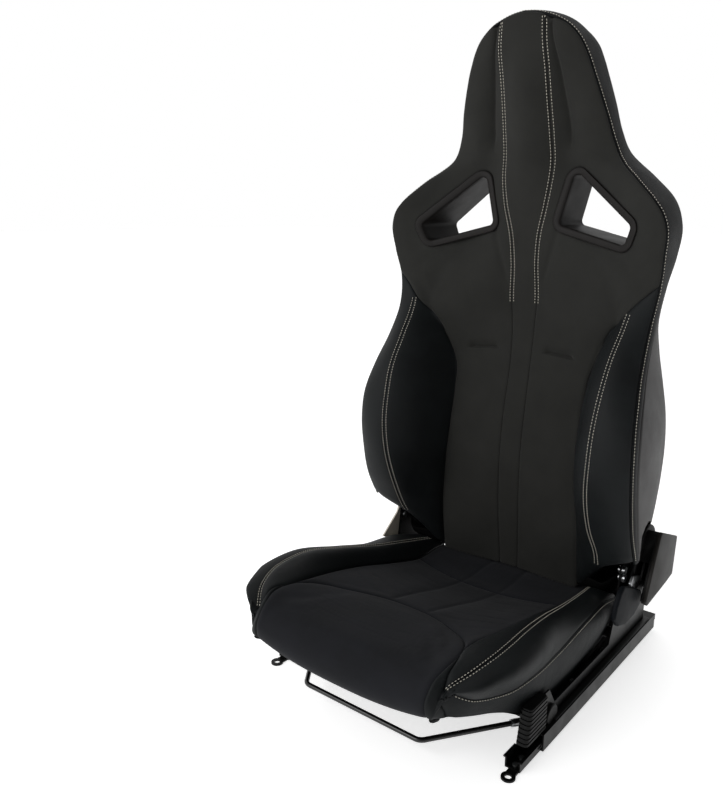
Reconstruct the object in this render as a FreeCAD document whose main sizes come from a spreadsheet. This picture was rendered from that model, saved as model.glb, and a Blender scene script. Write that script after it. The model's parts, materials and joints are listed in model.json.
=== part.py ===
import FreeCAD, Part
import Sketcher
import math
import os
import re

# Reclining sport bucket seat on sliding rails, in millimetres.
# The occupant faces -Y, +Z is up, +X is the occupant's left and carries the recline lever.
# The origin is the centre of the four floor bolts, on the floor.

# Driving sizes, in groups. Each becomes an aliased cell of the sheet called sizes.
SIZES = {
    # floor feet: flat straps with an eye, riveted under the lower rails
    "foot_spacing_x": 456.0,
    "eye_overhang": 15.0,
    "foot_hole": 10.0,
    "foot_ring": 21.0,
    "foot_width": 15.0,
    "foot_thick": 3.0,
    "foot_lap": 45.0,
    "rivet_dia": 6.0,
    "rivet_fit": 0.05,
    "rivet_inset": 10.0,
    "rivet_pitch": 18.0,
    # lower rail: fixed channel with flanges turned out at the top
    "rail_x": 226.0,
    "lower_rail_length": 410.0,
    "lower_rail_width": 24.0,
    "lower_rail_tall": 17.0,
    "rail_wall": 2.2,
    "lower_flange": 3.0,
    "notch_width": 6.0,
    "notch_pitch": 12.0,
    "notch_count": 15,
    "notch_first": -172.0,
    # upper rail: channel that wraps the lower one from above
    "upper_rail_start": -146.0,
    "upper_rail_length": 456.0,
    "upper_rail_width": 36.0,
    "upper_rail_bottom": 6.0,
    "upper_rail_top": 33.0,
    "upper_lip": 3.0,
    "end_cap_length": 8.0,
    "end_cap_fit": 0.3,
    # rollers between the rails, in a flat cage
    "roller_gap": 0.2,
    "roller_overhang": 1.5,
    "roller_first": -120.0,
    "roller_pitch": 75.0,
    "cage_thick": 1.5,
    "cage_margin": 14.0,
    # side members: upright plates on the upper rails, which rise to the recline pivot
    "member_x": 229.0,
    "plate_thick": 3.0,
    "member_front": -170.0,
    "member_rear": 280.0,
    "member_flange": 15.0,
    "member_height": 54.0,
    "bracket_height": 84.0,
    "bracket_length": 60.0,
    "member_bolt_dia": 6.0,
    "member_bolt_first": -120.0,
    "member_bolt_pitch": 120.0,
    # recline pivot and its discs
    "pivot_y": 225.0,
    "pivot_z": 205.0,
    "hinge_radius": 38.0,
    "disc_thick": 4.0,
    "disc_gap": 0.3,
    "disc_radius": 34.0,
    "rod_dia": 10.0,
    "rod_fit": 0.05,
    "arm_bolt_dia": 7.0,
    "arm_bolt_y": 155.0,
    "arm_bolt_z": 163.0,
    "arm_bolt_spacing": 15.0,
    # cross tubes and pan under the cushion
    "cross_tube_dia": 20.0,
    "cross_tube_z": 58.0,
    "front_tube_y": -145.0,
    "rear_tube_y": 150.0,
    "pan_half": 186.0,
    "pan_thick": 2.0,
    "pan_rear": 172.0,
    "pan_knee": -150.0,
    "pan_front": -285.0,
    "pan_rise": 40.0,
    "pan_lip": 8.0,
    # release bar that lifts the lock levers of both rails
    "bar_dia": 8.0,
    "bar_half": 111.0,
    "bar_front": -269.5,
    "bar_z": 33.0,
    "bar_bend": 16.0,
    "bar_tail_x": 201.0,
    "bar_tail_y": -140.0,
    "bar_pivot_y": -107.0,
    "bar_pivot_z": 42.0,
    "lock_thick": 3.0,
    "lock_gap": 1.2,
    "pivot_pin_dia": 8.0,
    "pivot_cap_dia": 34.0,
    "pivot_cap_thick": 6.0,
    "tooth_length": 22.0,
    "tooth_first": -76.0,
    "tooth_tall": 8.0,
    # recliner cover and lever on the +X side
    "cover_outer_x": 272.0,
    "cover_wall": 2.2,
    "cover_step_x": 247.0,
    "cover_fit": 0.3,
    "lever_x": 250.0,
    "lever_thick": 3.5,
    "grip_thick": 13.0,
    "lever_hub": 13.0,
    # bare bracket on the -X side
    "bracket_thick": 3.0,
    # back: shell wall, foam fit and the frame inside
    "shell_wall": 3.0,
    "foam_fit": 0.3,
    "arm_top": 495.0,
    "arm_width": 34.0,
    "cross_low_z": 300.0,
    "cross_high_z": 478.0,
    "frame_y": 230.0,
    "frame_tube_dia": 22.0,
    "head_tube_dia": 12.0,
    "head_tube_half": 40.0,
    "head_tube_top": 1035.0,
    "sweep_radius": 101.0,
    "cushion_clearance": 105.0,
    "lever_room": 17.8,
    # harness openings through the back: corners at the front face
    "slot_inner_x": 63.0,
    "slot_inner_z": 748.0,
    "slot_low_x": 186.0,
    "slot_low_z": 716.5,
    "slot_outer_x": 198.0,
    "slot_outer_z": 747.0,
    "slot_top_x": 85.0,
    "slot_top_z": 835.0,
    "slot_round": 9.0,
    "bezel_width": 12.0,
    "bezel_wall": 2.5,
    "bezel_proud": 3.0,
    "bezel_fit": 0.3,
}

# Lofting table of the back, one row per height.
# z; outer seam half width and depth; bolster crest half width and depth;
# inner seam half width and depth; depth on the centre line; rear corner half width and depth; rear centre depth.
BACK_ROWS = [
    (96, 262, 156, 196, 152, 143, 178, 184, 222, 215, 262),
    (160, 263, 134, 196, 134, 141, 168, 177, 225, 240, 290),
    (214, 265, 106, 199, 108, 140, 163, 171, 226, 268, 308),
    (270, 266, 78, 198, 73, 136, 163, 167, 229, 278, 318),
    (330, 265, 63, 198, 51, 132, 164, 166, 240, 276, 322),
    (390, 264, 57, 200, 46, 130, 168, 171, 247, 262, 318),
    (440, 261, 63, 201, 53, 130, 176, 179, 247, 250, 308),
    (490, 254, 86, 202, 69, 134, 184, 188, 240, 244, 298),
    (545, 245, 120, 203, 102, 152, 178, 195, 233, 226, 284),
    (595, 242, 146, 206, 139, 182, 163, 196, 232, 212, 274),
    (650, 248, 158, 214, 158, 160, 173, 192, 238, 218, 268),
    (700, 254, 147, 205, 158, 120, 181, 187, 245, 238, 270),
    (750, 256, 138, 195, 155, 110, 187, 182, 247, 245, 274),
    (787, 235, 138, 180, 159, 98, 189, 177, 228, 252, 276),
    (822, 197, 157, 150, 170, 84, 190, 173, 190, 262, 278),
    (858, 157, 189, 112, 184, 73, 192, 168, 150, 252, 274),
    (895, 140, 189, 102, 180, 72, 186, 161, 134, 246, 268),
    (940, 128, 175, 96, 168, 66, 173, 152, 122, 240, 262),
    (990, 112, 162, 86, 156, 59, 157, 143, 107, 236, 256),
    (1030, 95, 153, 74, 146, 52, 142, 138, 90, 236, 252),
    (1060, 66, 148, 52, 141, 40, 138, 136, 62, 236, 248),
    (1079, 44, 152, 36, 149, 26, 147, 145, 42, 232, 242),
    (1089, 27, 178, 21, 178, 14, 177, 176, 25, 214, 220),
]

# Front edge of the hard shell along the side of the back, as depth and height.
SHELL_EDGE = [
    (150, 60), (150, 190), (118, 266), (100, 330), (97, 393), (110, 453), (133, 505),
    (158, 543), (188, 580), (212, 620), (222, 660), (236, 705), (246, 760), (262, 822),
    (251, 870), (240, 940), (236, 1030), (236, 1140),
]

# Rear limit of the foam in front of the frame, as depth and height.
FOAM_REAR = [(213, 60), (213, 300), (224, 400), (228, 560), (240, 640), (258, 720), (264, 822), (264, 1140)]

# Lofting table of the cushion, one row per depth.
# y; centre height; valley half width and height; bolster crest half width and height;
# side seam half width and height; lower edge half width and height.
CUSHION_ROWS = [
    (-336, 143, 156, 143, 164, 141, 167, 137, 163, 130),
    (-326, 155, 158, 160, 170, 156, 178, 142, 172, 117),
    (-314, 162, 159, 173, 174, 165, 187, 145, 180, 111),
    (-304, 165, 160, 178, 178, 170, 193, 146, 184, 109),
    (-284, 168, 162, 184, 192, 181, 206, 145, 195, 101),
    (-257, 169, 162, 186, 206, 190, 218, 139, 205, 90),
    (-210, 167, 159, 181, 212, 196, 227, 132, 211, 70),
    (-162, 161, 161, 171, 211, 195, 228, 130, 213, 52),
    (-82, 141, 160, 152, 200, 179, 228, 129, 213, 41),
    (19, 114, 155, 126, 187, 153, 226, 131, 212, 38),
    (104, 100, 152, 108, 178, 135, 221, 128, 209, 40),
    (170, 104, 154, 106, 169, 121, 213, 110, 205, 44),
    (192, 103, 154, 104, 165, 112, 208, 100, 202, 50),
]


def expression(text):
    """Put the sheet's name in front of every size in an expression."""
    return re.sub(r"[a-z_]{4,}", lambda m: "sizes." + m.group() if m.group() in SIZES else m.group(), text)


doc = FreeCAD.newDocument("bucket_seat")
sheet = doc.addObject("Spreadsheet::Sheet", "sizes")
for row, (alias, number) in enumerate(SIZES.items(), start=1):
    sheet.set("A%d" % row, alias)
    sheet.set("B%d" % row, str(number))
    sheet.setAlias("B%d" % row, alias)
doc.recompute()


def size(alias):
    """Read one driving size from the sheet."""
    return float(sheet.get(alias))


def vec(x, y, z):
    return FreeCAD.Vector(x, y, z)


parts = []


def keep(piece, label):
    """Name a sub-part and list it for export."""
    piece.Label = label
    parts.append(piece)
    return piece


def new_body(name):
    return doc.addObject("PartDesign::Body", name)


def add_sketch(body, role, lift, outlines=(), circles=()):
    """Sketch on an origin plane of the body, every corner and centre bound to the sheet."""
    sketch = body.newObject("Sketcher::SketchObject", body.Name + "_sketch")
    plane = next(f for f in body.Origin.OriginFeatures if f.Role == role)
    sketch.AttachmentSupport = [(plane, "")]
    sketch.MapMode = "FlatFace"
    sketch.setExpression(".AttachmentOffset.Base.z", expression(lift))
    count = 0
    for outline in outlines:
        total = len(outline)
        start = [vec(math.cos(2 * math.pi * i / total), math.sin(2 * math.pi * i / total) + 0.01, 0)
                 for i in range(total)]
        for i in range(total):
            sketch.addGeometry(Part.LineSegment(start[i], start[(i + 1) % total]), False)
        for i in range(total):
            joined = Sketcher.Constraint("Coincident", count + i, 2, count + (i + 1) % total, 1)
            sketch.addConstraint(joined)
        for i, (across, along) in enumerate(outline):
            pin_point(sketch, count + i, 1, start[i], across, along)
        count += total
    for across, along, radius in circles:
        centre = vec(count + 1, count + 1, 0)
        sketch.addGeometry(Part.Circle(centre, vec(0, 0, 1), 1), False)
        pin_point(sketch, count, 3, centre, across, along)
        held = sketch.addConstraint(Sketcher.Constraint("Radius", count, 1.0))
        sketch.setExpression("Constraints[%d]" % held, expression(radius))
        count += 1
    return sketch


def pin_point(sketch, geometry, point, start, across, along):
    """Hold one point of a sketch at two expressions."""
    for kind, value, text in (("DistanceX", start.x, across), ("DistanceY", start.y, along)):
        held = sketch.addConstraint(Sketcher.Constraint(kind, -1, 1, geometry, point, value))
        sketch.setExpression("Constraints[%d]" % held, expression(text))


def pad(body, sketch, length, midplane=False):
    """Pad a sketch along its normal."""
    feature = body.newObject("PartDesign::Pad", body.Name + "_pad")
    feature.Profile = sketch
    feature.setExpression("Length", expression(length))
    feature.Midplane = midplane
    body.Tip = feature
    return feature


def pocket(body, sketch, length, midplane=True):
    """Cut a sketch through the body, evenly to both sides of its plane."""
    feature = body.newObject("PartDesign::Pocket", body.Name + "_pocket")
    feature.Profile = sketch
    feature.Type = "Length"
    feature.setExpression("Length", expression(length))
    feature.Midplane = midplane
    body.Tip = feature
    return feature


def mirrored(source, name):
    """The same piece for the other side of the seat."""
    copy = doc.addObject("Part::Mirroring", name)
    copy.Source = source
    copy.Base = vec(0, 0, 0)
    copy.Normal = vec(1, 0, 0)
    return copy


def feature_of(shape, name):
    """A sub-part whose shape is made by functions that read the sheet."""
    piece = doc.addObject("Part::Feature", name)
    piece.Shape = shape
    piece.Placement = FreeCAD.Placement()
    return piece


def cylinder_x(x_from, x_to, y, z, radius):
    """Round bar along X."""
    return Part.makeCylinder(radius, x_to - x_from, vec(x_from, y, z), vec(1, 0, 0))


def cylinder_z(x, y, z_from, z_to, radius):
    """Round bar along Z."""
    return Part.makeCylinder(radius, z_to - z_from, vec(x, y, z_from), vec(0, 0, 1))


def box_between(low, high):
    return Part.makeBox(high[0] - low[0], high[1] - low[1], high[2] - low[2], vec(*low))


def prism(points, direction):
    """Closed outline swept along a vector."""
    wire = Part.makePolygon(points + [points[0]])
    return Part.Face(wire).extrude(direction)


def prism_x(outline, x_from, x_to):
    """Outline of depth and height, swept across the seat."""
    return prism([vec(x_from, y, z) for y, z in outline], vec(x_to - x_from, 0, 0))


def prism_y(outline, y_from, y_to):
    """Outline of width and height, swept from front to back."""
    return prism([vec(x, y_from, z) for x, z in outline], vec(0, y_to - y_from, 0))


def prism_z(outline, z_from, z_to):
    """Outline seen from above, swept upwards."""
    return prism([vec(x, y, z_from) for x, y in outline], vec(0, 0, z_to - z_from))


def rounded_path(points, bend):
    """Straight runs joined by tangent arcs of one radius."""
    edges = []
    begin = points[0]
    for before, corner, after in zip(points, points[1:], points[2:]):
        back = (before - corner).normalize()
        ahead = (after - corner).normalize()
        half = 0.5 * back.getAngle(ahead)
        reach = bend / math.tan(half)
        first = corner + back * reach
        last = corner + ahead * reach
        inward = (back + ahead).normalize()
        middle = corner + inward * (bend / math.sin(half) - bend)
        edges.append(Part.LineSegment(begin, first).toShape())
        edges.append(Part.Arc(first, middle, last).toShape())
        begin = last
    edges.append(Part.LineSegment(begin, points[-1]).toShape())
    return Part.Wire(edges)


def tube_along(points, radius, bend):
    """Round rod bent along a path."""
    path = rounded_path(points, bend)
    start = Part.Wire([Part.Circle(points[0], points[1] - points[0], radius).toShape()])
    return path.makePipeShell([start], True, False)


def group_of(shapes, name):
    """Separate solids kept as one node."""
    return feature_of(Part.makeCompound(shapes), name)


# Lower rails
RAIL_TOP = "(foot_thick + lower_rail_tall)"
HALF = "lower_rail_width/2"


def lower_rail():
    body = new_body("lower_rail_left")
    inner = HALF + " - rail_wall"
    wide = HALF + " + lower_flange"
    profile = [
        ("rail_x - " + HALF, "foot_thick"),
        ("rail_x + " + HALF, "foot_thick"),
        ("rail_x + " + HALF, RAIL_TOP + " - rail_wall"),
        ("rail_x + " + wide, RAIL_TOP + " - rail_wall"),
        ("rail_x + " + wide, RAIL_TOP),
        ("rail_x + " + inner, RAIL_TOP),
        ("rail_x + " + inner, "foot_thick + rail_wall"),
        ("rail_x - (" + inner + ")", "foot_thick + rail_wall"),
        ("rail_x - (" + inner + ")", RAIL_TOP),
        ("rail_x - (" + wide + ")", RAIL_TOP),
        ("rail_x - (" + wide + ")", RAIL_TOP + " - rail_wall"),
        ("rail_x - " + HALF, RAIL_TOP + " - rail_wall"),
    ]
    pad(body, add_sketch(body, "XZ_Plane", "0", [profile]), "lower_rail_length", True)
    holes = [("rail_x", side + "(lower_rail_length/2 - rivet_inset - " + step + ")", "rivet_dia/2 + rivet_fit")
             for side in ("", "-") for step in ("0", "rivet_pitch")]
    pocket(body, add_sketch(body, "XY_Plane", "foot_thick", circles=holes), "4*rail_wall")
    edge = "rail_x - " + HALF + " - lower_flange"
    notch = [
        (edge + " - 1", "notch_first"),
        (edge + " + lower_flange - 0.5", "notch_first"),
        (edge + " + lower_flange - 0.5", "notch_first + notch_width"),
        (edge + " - 1", "notch_first + notch_width"),
    ]
    doc.recompute()
    first = pocket(body, add_sketch(body, "XY_Plane", RAIL_TOP, [notch]), "4*rail_wall")
    doc.recompute()
    row_of = body.newObject("PartDesign::LinearPattern", "notch_row")
    row_of.Originals = [first]
    axis = next(f for f in body.Origin.OriginFeatures if f.Role == "Y_Axis")
    row_of.Direction = (axis, [""])
    row_of.setExpression("Length", expression("notch_pitch*(notch_count - 1)"))
    row_of.setExpression("Occurrences", expression("notch_count"))
    body.Tip = row_of
    return keep(body, "lower_rail_left")


keep(mirrored(lower_rail(), "lower_rail_right"), "lower_rail_right")


# Feet and their rivets
def rivet_places(side):
    """Depths of the two rivets at one end of a rail."""
    first = size("lower_rail_length") / 2 - size("rivet_inset")
    return [side * first, side * (first - size("rivet_pitch"))]


def foot_group(side, label):
    """The pair of feet at one end; side is -1 for the front."""
    eye_y = size("lower_rail_length") / 2 + size("eye_overhang")
    lap_y = size("lower_rail_length") / 2 - size("foot_lap")
    shapes = []
    for hand in (-1, 1):
        eye_x = hand * size("foot_spacing_x") / 2
        rail = hand * size("rail_x")
        half = size("foot_width") / 2
        thick = size("foot_thick")
        strap = prism_z([(rail - half, side * lap_y), (rail + half, side * lap_y),
                         (eye_x + half, side * eye_y), (eye_x - half, side * eye_y)], 0, thick)
        eye = cylinder_z(eye_x, side * eye_y, 0, thick, size("foot_ring") / 2)
        foot = strap.fuse(eye).removeSplitter()
        foot = foot.cut(cylinder_z(eye_x, side * eye_y, -1, thick + 1, size("foot_hole") / 2))
        for rivet_y in rivet_places(side):
            bore = size("rivet_dia") / 2 + size("rivet_fit")
            foot = foot.cut(cylinder_z(rail, rivet_y, -1, thick + 1, bore))
        shapes.append(foot)
    return keep(group_of(shapes, label), label)


foot_group(-1, "front_feet")
foot_group(1, "rear_feet")


def foot_rivets():
    shapes = []
    for hand in (-1, 1):
        for side in (-1, 1):
            for y in rivet_places(side):
                x = hand * size("rail_x")
                top = size("foot_thick") + size("rail_wall")
                shank = cylinder_z(x, y, 0.2, top, size("rivet_dia") / 2)
                head = cylinder_z(x, y, top, top + 2, 0.8 * size("rivet_dia"))
                shapes.append(shank.fuse(head))
    return keep(group_of(shapes, "foot_rivets"), "foot_rivets")


foot_rivets()

# Upper rails and what runs between the rails
WIDE = "upper_rail_width/2"


def upper_rail():
    body = new_body("upper_rail_left")
    profile = [
        ("rail_x - " + WIDE, "upper_rail_bottom"),
        ("rail_x - " + WIDE + " + rail_wall + upper_lip", "upper_rail_bottom"),
        ("rail_x - " + WIDE + " + rail_wall + upper_lip", "upper_rail_bottom + rail_wall"),
        ("rail_x - " + WIDE + " + rail_wall", "upper_rail_bottom + rail_wall"),
        ("rail_x - " + WIDE + " + rail_wall", "upper_rail_top - rail_wall"),
        ("rail_x + " + WIDE + " - rail_wall", "upper_rail_top - rail_wall"),
        ("rail_x + " + WIDE + " - rail_wall", "upper_rail_bottom + rail_wall"),
        ("rail_x + " + WIDE + " - rail_wall - upper_lip", "upper_rail_bottom + rail_wall"),
        ("rail_x + " + WIDE + " - rail_wall - upper_lip", "upper_rail_bottom"),
        ("rail_x + " + WIDE, "upper_rail_bottom"),
        ("rail_x + " + WIDE, "upper_rail_top"),
        ("rail_x - " + WIDE, "upper_rail_top"),
    ]
    middle = "-(upper_rail_start + upper_rail_length/2)"
    pad(body, add_sketch(body, "XZ_Plane", middle, [profile]), "upper_rail_length", True)
    window = [
        ("tooth_first - 8", "upper_rail_bottom + 1.5"),
        ("tooth_first + tooth_length + 8", "upper_rail_bottom + 1.5"),
        ("tooth_first + tooth_length + 8", "upper_rail_top - 3"),
        ("tooth_first - 8", "upper_rail_top - 3"),
    ]
    doc.recompute()
    pocket(body, add_sketch(body, "YZ_Plane", "rail_x - " + WIDE, [window]), "4*rail_wall")
    bolts = [("rail_x - 5", "member_bolt_first + %d*member_bolt_pitch" % step, "member_bolt_dia/2 + rivet_fit")
             for step in range(4)]
    doc.recompute()
    pocket(body, add_sketch(body, "XY_Plane", "upper_rail_top", circles=bolts), "4*rail_wall")
    return keep(body, "upper_rail_left")


upper_rail_left = upper_rail()
keep(mirrored(upper_rail_left, "upper_rail_right"), "upper_rail_right")


def roller_radius():
    floor = size("foot_thick") + size("lower_rail_tall")
    roof = size("upper_rail_top") - size("rail_wall")
    return (roof - floor) / 2 - size("roller_gap")


def roller_height():
    return size("foot_thick") + size("lower_rail_tall") + size("roller_gap") + roller_radius()


def roller_places():
    return [size("roller_first") + step * size("roller_pitch") for step in range(4)]


def roller_cages():
    shapes = []
    reach = size("lower_rail_width") / 2 + size("roller_overhang")
    low = roller_height() - size("cage_thick") / 2
    slot = roller_radius() + 0.3
    for hand in (-1, 1):
        x = hand * size("rail_x")
        strip = box_between((x - reach - 2, roller_places()[0] - size("cage_margin"), low),
                            (x + reach + 2, roller_places()[-1] + size("cage_margin"), low + size("cage_thick")))
        for y in roller_places():
            strip = strip.cut(box_between((x - reach - 0.3, y - slot, low - 1),
                                          (x + reach + 0.3, y + slot, low + size("cage_thick") + 1)))
        shapes.append(strip)
    return keep(group_of(shapes, "roller_cages"), "roller_cages")


def rail_rollers():
    shapes = []
    reach = size("lower_rail_width") / 2 + size("roller_overhang")
    for hand in (-1, 1):
        for y in roller_places():
            x = hand * size("rail_x")
            shapes.append(cylinder_x(x - reach, x + reach, y, roller_height(), roller_radius()))
    return keep(group_of(shapes, "rail_rollers"), "rail_rollers")


roller_cages()
rail_rollers()


def rail_end_caps():
    """Moulded plugs in the open ends of the upper rails, cut clear of the lower rails."""
    shapes = []
    fit = size("end_cap_fit")
    end = size("upper_rail_start") + size("upper_rail_length")
    for hand in (-1, 1):
        x = hand * size("rail_x")
        half = size("upper_rail_width") / 2
        plug = half - size("rail_wall") - fit
        floor = size("foot_thick") + size("lower_rail_tall") + 2
        roof = size("upper_rail_top") - size("rail_wall") - fit
        body = box_between((x - plug, end - size("end_cap_length"), floor), (x + plug, end, roof))
        flange = box_between((x - half, end, floor), (x + half, end + 2.5, size("upper_rail_top")))
        shapes.append(body.fuse(flange))
    return keep(group_of(shapes, "rail_end_caps"), "rail_end_caps")


rail_end_caps()


# Side members with the lower recline arms
def side_member():
    body = new_body("side_member_left")
    profile = [
        ("member_front", "upper_rail_top"),
        ("member_rear", "upper_rail_top"),
        ("member_rear", "upper_rail_top + 42"),
        ("pivot_y + hinge_radius", "pivot_z"),
        ("pivot_y - hinge_radius", "pivot_z + 7"),
        ("arm_bolt_y - 9", "arm_bolt_z + 20"),
        ("arm_bolt_y - 20", "arm_bolt_z - 60"),
        ("arm_bolt_y - 40", "member_height"),
        ("member_front + bracket_length + 20", "member_height"),
        ("member_front + bracket_length", "bracket_height"),
        ("member_front", "bracket_height"),
    ]
    pad(body, add_sketch(body, "YZ_Plane", "member_x", [profile]), "plate_thick")
    boss = [("pivot_y", "pivot_z", "hinge_radius")]
    pad(body, add_sketch(body, "YZ_Plane", "member_x", circles=boss), "plate_thick")
    flange = [
        ("member_x - member_flange", "member_front + bracket_length"),
        ("member_x + 1", "member_front + bracket_length"),
        ("member_x + 1", "member_rear"),
        ("member_x - member_flange", "member_rear"),
    ]
    pad(body, add_sketch(body, "XY_Plane", "upper_rail_top", [flange]), "plate_thick")
    doc.recompute()
    holes = [
        ("pivot_y", "pivot_z", "rod_dia/2 + rod_fit"),
        ("bar_pivot_y", "bar_pivot_z", "pivot_pin_dia/2 + rivet_fit"),
        ("arm_bolt_y", "arm_bolt_z", "arm_bolt_dia/2 + rivet_fit"),
        ("arm_bolt_y - 2", "arm_bolt_z + arm_bolt_spacing", "arm_bolt_dia/2 + rivet_fit"),
    ]
    pocket(body, add_sketch(body, "YZ_Plane", "member_x", circles=holes), "8*plate_thick")
    doc.recompute()
    bolts = [("rail_x - 5", "member_bolt_first + %d*member_bolt_pitch" % step, "member_bolt_dia/2 + rivet_fit")
             for step in range(1, 4)]
    pocket(body, add_sketch(body, "XY_Plane", "upper_rail_top", circles=bolts), "8*plate_thick")
    return keep(body, "side_member_left")


keep(mirrored(side_member(), "side_member_right"), "side_member_right")


def member_bolts():
    """Cap screws that hold the side members down on the upper rails."""
    shapes = []
    for hand in (-1, 1):
        for step in range(1, 4):
            x = hand * (size("rail_x") - 5)
            y = size("member_bolt_first") + step * size("member_bolt_pitch")
            seat = size("upper_rail_top") + size("plate_thick")
            shank = cylinder_z(x, y, size("upper_rail_top") - size("rail_wall"), seat, size("member_bolt_dia") / 2)
            shapes.append(shank.fuse(cylinder_z(x, y, seat, seat + 4, 5)))
    return keep(group_of(shapes, "member_bolts"), "member_bolts")


def arm_bolts():
    """Bright bolts through the recline arms, heads outside and nuts inside."""
    shapes = []
    for hand in (-1, 1):
        for step in (0, 1):
            y = size("arm_bolt_y") - 2 * step
            z = size("arm_bolt_z") + step * size("arm_bolt_spacing")
            inner = size("member_x")
            outer = inner + size("plate_thick")
            if hand < 0:
                outer += size("bracket_thick")
            shank = cylinder_x(inner - 2, outer, y, z, size("arm_bolt_dia") / 2)
            head = cylinder_x(outer, outer + 5, y, z, size("arm_bolt_dia"))
            nut = cylinder_x(inner - 3.5, inner, y, z, 0.85 * size("arm_bolt_dia"))
            bolt = shank.fuse([head, nut])
            shapes.append(bolt if hand > 0 else bolt.mirror(vec(0, 0, 0), vec(1, 0, 0)))
    return keep(group_of(shapes, "arm_bolts"), "arm_bolts")


member_bolts()
arm_bolts()


# Cross tubes and seat pan
def cross_tube(alias, label):
    tube = doc.addObject("Part::Cylinder", label)
    tube.setExpression("Radius", expression("cross_tube_dia/2"))
    tube.setExpression("Height", expression("2*member_x"))
    tube.setExpression(".Placement.Base.x", expression("-member_x"))
    tube.setExpression(".Placement.Base.y", expression(alias))
    tube.setExpression(".Placement.Base.z", expression("cross_tube_z"))
    tube.Placement = FreeCAD.Placement(vec(0, 0, 0), FreeCAD.Rotation(vec(0, 1, 0), 90))
    return keep(tube, label)


cross_tube("front_tube_y", "front_cross_tube")
cross_tube("rear_tube_y", "rear_cross_tube")
PAN_LOW = "(cross_tube_z + cross_tube_dia/2)"


def seat_pan():
    body = new_body("seat_pan")
    profile = [
        ("pan_rear", PAN_LOW),
        ("pan_rear", PAN_LOW + " + pan_thick"),
        ("pan_knee", PAN_LOW + " + pan_thick"),
        ("pan_front", PAN_LOW + " + pan_rise + pan_thick"),
        ("pan_front", PAN_LOW + " + pan_rise - pan_lip"),
        ("pan_front + pan_thick", PAN_LOW + " + pan_rise - pan_lip"),
        ("pan_front + pan_thick", PAN_LOW + " + pan_rise - 0.5"),
        ("pan_knee", PAN_LOW),
    ]
    pad(body, add_sketch(body, "YZ_Plane", "0", [profile]), "2*pan_half", True)
    return keep(body, "seat_pan")


seat_pan()


# Release bar, lock levers and their pivots
def release_bar():
    dia = size("bar_dia")
    half = size("bar_half")
    tail = [vec(size("bar_tail_x"), size("bar_tail_y"), size("bar_z")),
            vec(half, size("bar_front"), size("bar_z"))]
    points = tail + [vec(-p.x, p.y, p.z) for p in reversed(tail)]
    return keep(feature_of(tube_along(points, dia / 2, size("bar_bend")), "release_bar"), "release_bar")


release_bar()
LOCK_OUT = "(rail_x - upper_rail_width/2 - lock_gap)"


def lock_lever():
    """Lever plate inboard of the rail: socket for the bar in front, teeth behind the pivot."""
    inner = "(" + LOCK_OUT + " - lock_thick)"
    body = new_body("lock_lever_left")
    plate = [
        ("bar_tail_y + 2", "bar_z - 8"),
        ("tooth_first + tooth_length", "bar_z - 14"),
        ("tooth_first + tooth_length", "bar_z - 2"),
        ("bar_pivot_y + 14", "bar_pivot_z + 10"),
        ("bar_pivot_y - 10", "bar_pivot_z + 10"),
        ("bar_tail_y + 2", "bar_z + 9"),
    ]
    pad(body, add_sketch(body, "YZ_Plane", inner, [plate]), "lock_thick")
    tooth = [
        ("tooth_first", "bar_z - 14"),
        ("tooth_first + tooth_length", "bar_z - 14"),
        ("tooth_first + tooth_length", "bar_z - 14 + tooth_tall"),
        ("tooth_first", "bar_z - 14 + tooth_tall"),
    ]
    pad(body, add_sketch(body, "YZ_Plane", inner, [tooth]), "lock_thick + lock_gap + rail_wall")
    doc.recompute()
    hole = [("bar_pivot_y", "bar_pivot_z", "pivot_pin_dia/2 + rod_fit")]
    pocket(body, add_sketch(body, "YZ_Plane", inner, circles=hole), "4*lock_thick")
    return keep(body, "lock_lever_left")


keep(mirrored(lock_lever(), "lock_lever_right"), "lock_lever_right")


def bar_sockets():
    """Short sleeves welded inside the lock levers, over the ends of the bar."""
    y = size("bar_tail_y")
    z = size("bar_z")
    inner = size("rail_x") - size("upper_rail_width") / 2 - size("lock_gap") - size("lock_thick")
    outward = (vec(size("bar_tail_x"), y, z) - vec(size("bar_half"), size("bar_front"), z)).normalize()
    start = vec(size("bar_tail_x"), y, z) - outward * 14
    sleeve = Part.makeCylinder(size("bar_dia") / 2 + 2, 30, start, outward)
    bore = Part.makeCylinder(size("bar_dia") / 2 + size("rivet_fit"), 14.2, start - outward * 0.1, outward)
    sleeve = sleeve.cut(bore)
    sleeve = sleeve.common(box_between((0, y - 60, z - 20), (inner, y + 60, z + 20)))
    shapes = [sleeve, sleeve.mirror(vec(0, 0, 0), vec(1, 0, 0))]
    return keep(group_of(shapes, "bar_sockets"), "bar_sockets")


bar_sockets()


def bar_pivot_pins():
    """Pins from the side members through the lock levers, with the large round heads outside."""
    shapes = []
    y = size("bar_pivot_y")
    z = size("bar_pivot_z")
    inner = size("rail_x") - size("upper_rail_width") / 2 - size("lock_gap") - size("lock_thick")
    outer = size("member_x") + size("plate_thick")
    pin = cylinder_x(inner - 1.5, outer, y, z, size("pivot_pin_dia") / 2)
    clip = cylinder_x(inner - 3.5, inner - 0.5, y, z, size("pivot_pin_dia") * 0.75)
    head = cylinder_x(outer, outer + size("pivot_cap_thick"), y, z, size("pivot_cap_dia") / 2)
    head = head.makeFillet(2.0, [e for e in head.Edges if abs(e.CenterOfMass.x - head.BoundBox.XMax) < 0.01])
    head = head.cut(box_between((outer - 1, y - 40, 0), (outer + 20, y + 40, size("upper_rail_top") + 0.3)))
    whole = pin.fuse([clip, head])
    shapes = [whole, whole.mirror(vec(0, 0, 0), vec(1, 0, 0))]
    return keep(group_of(shapes, "bar_pivot_pins"), "bar_pivot_pins")


bar_pivot_pins()


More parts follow.
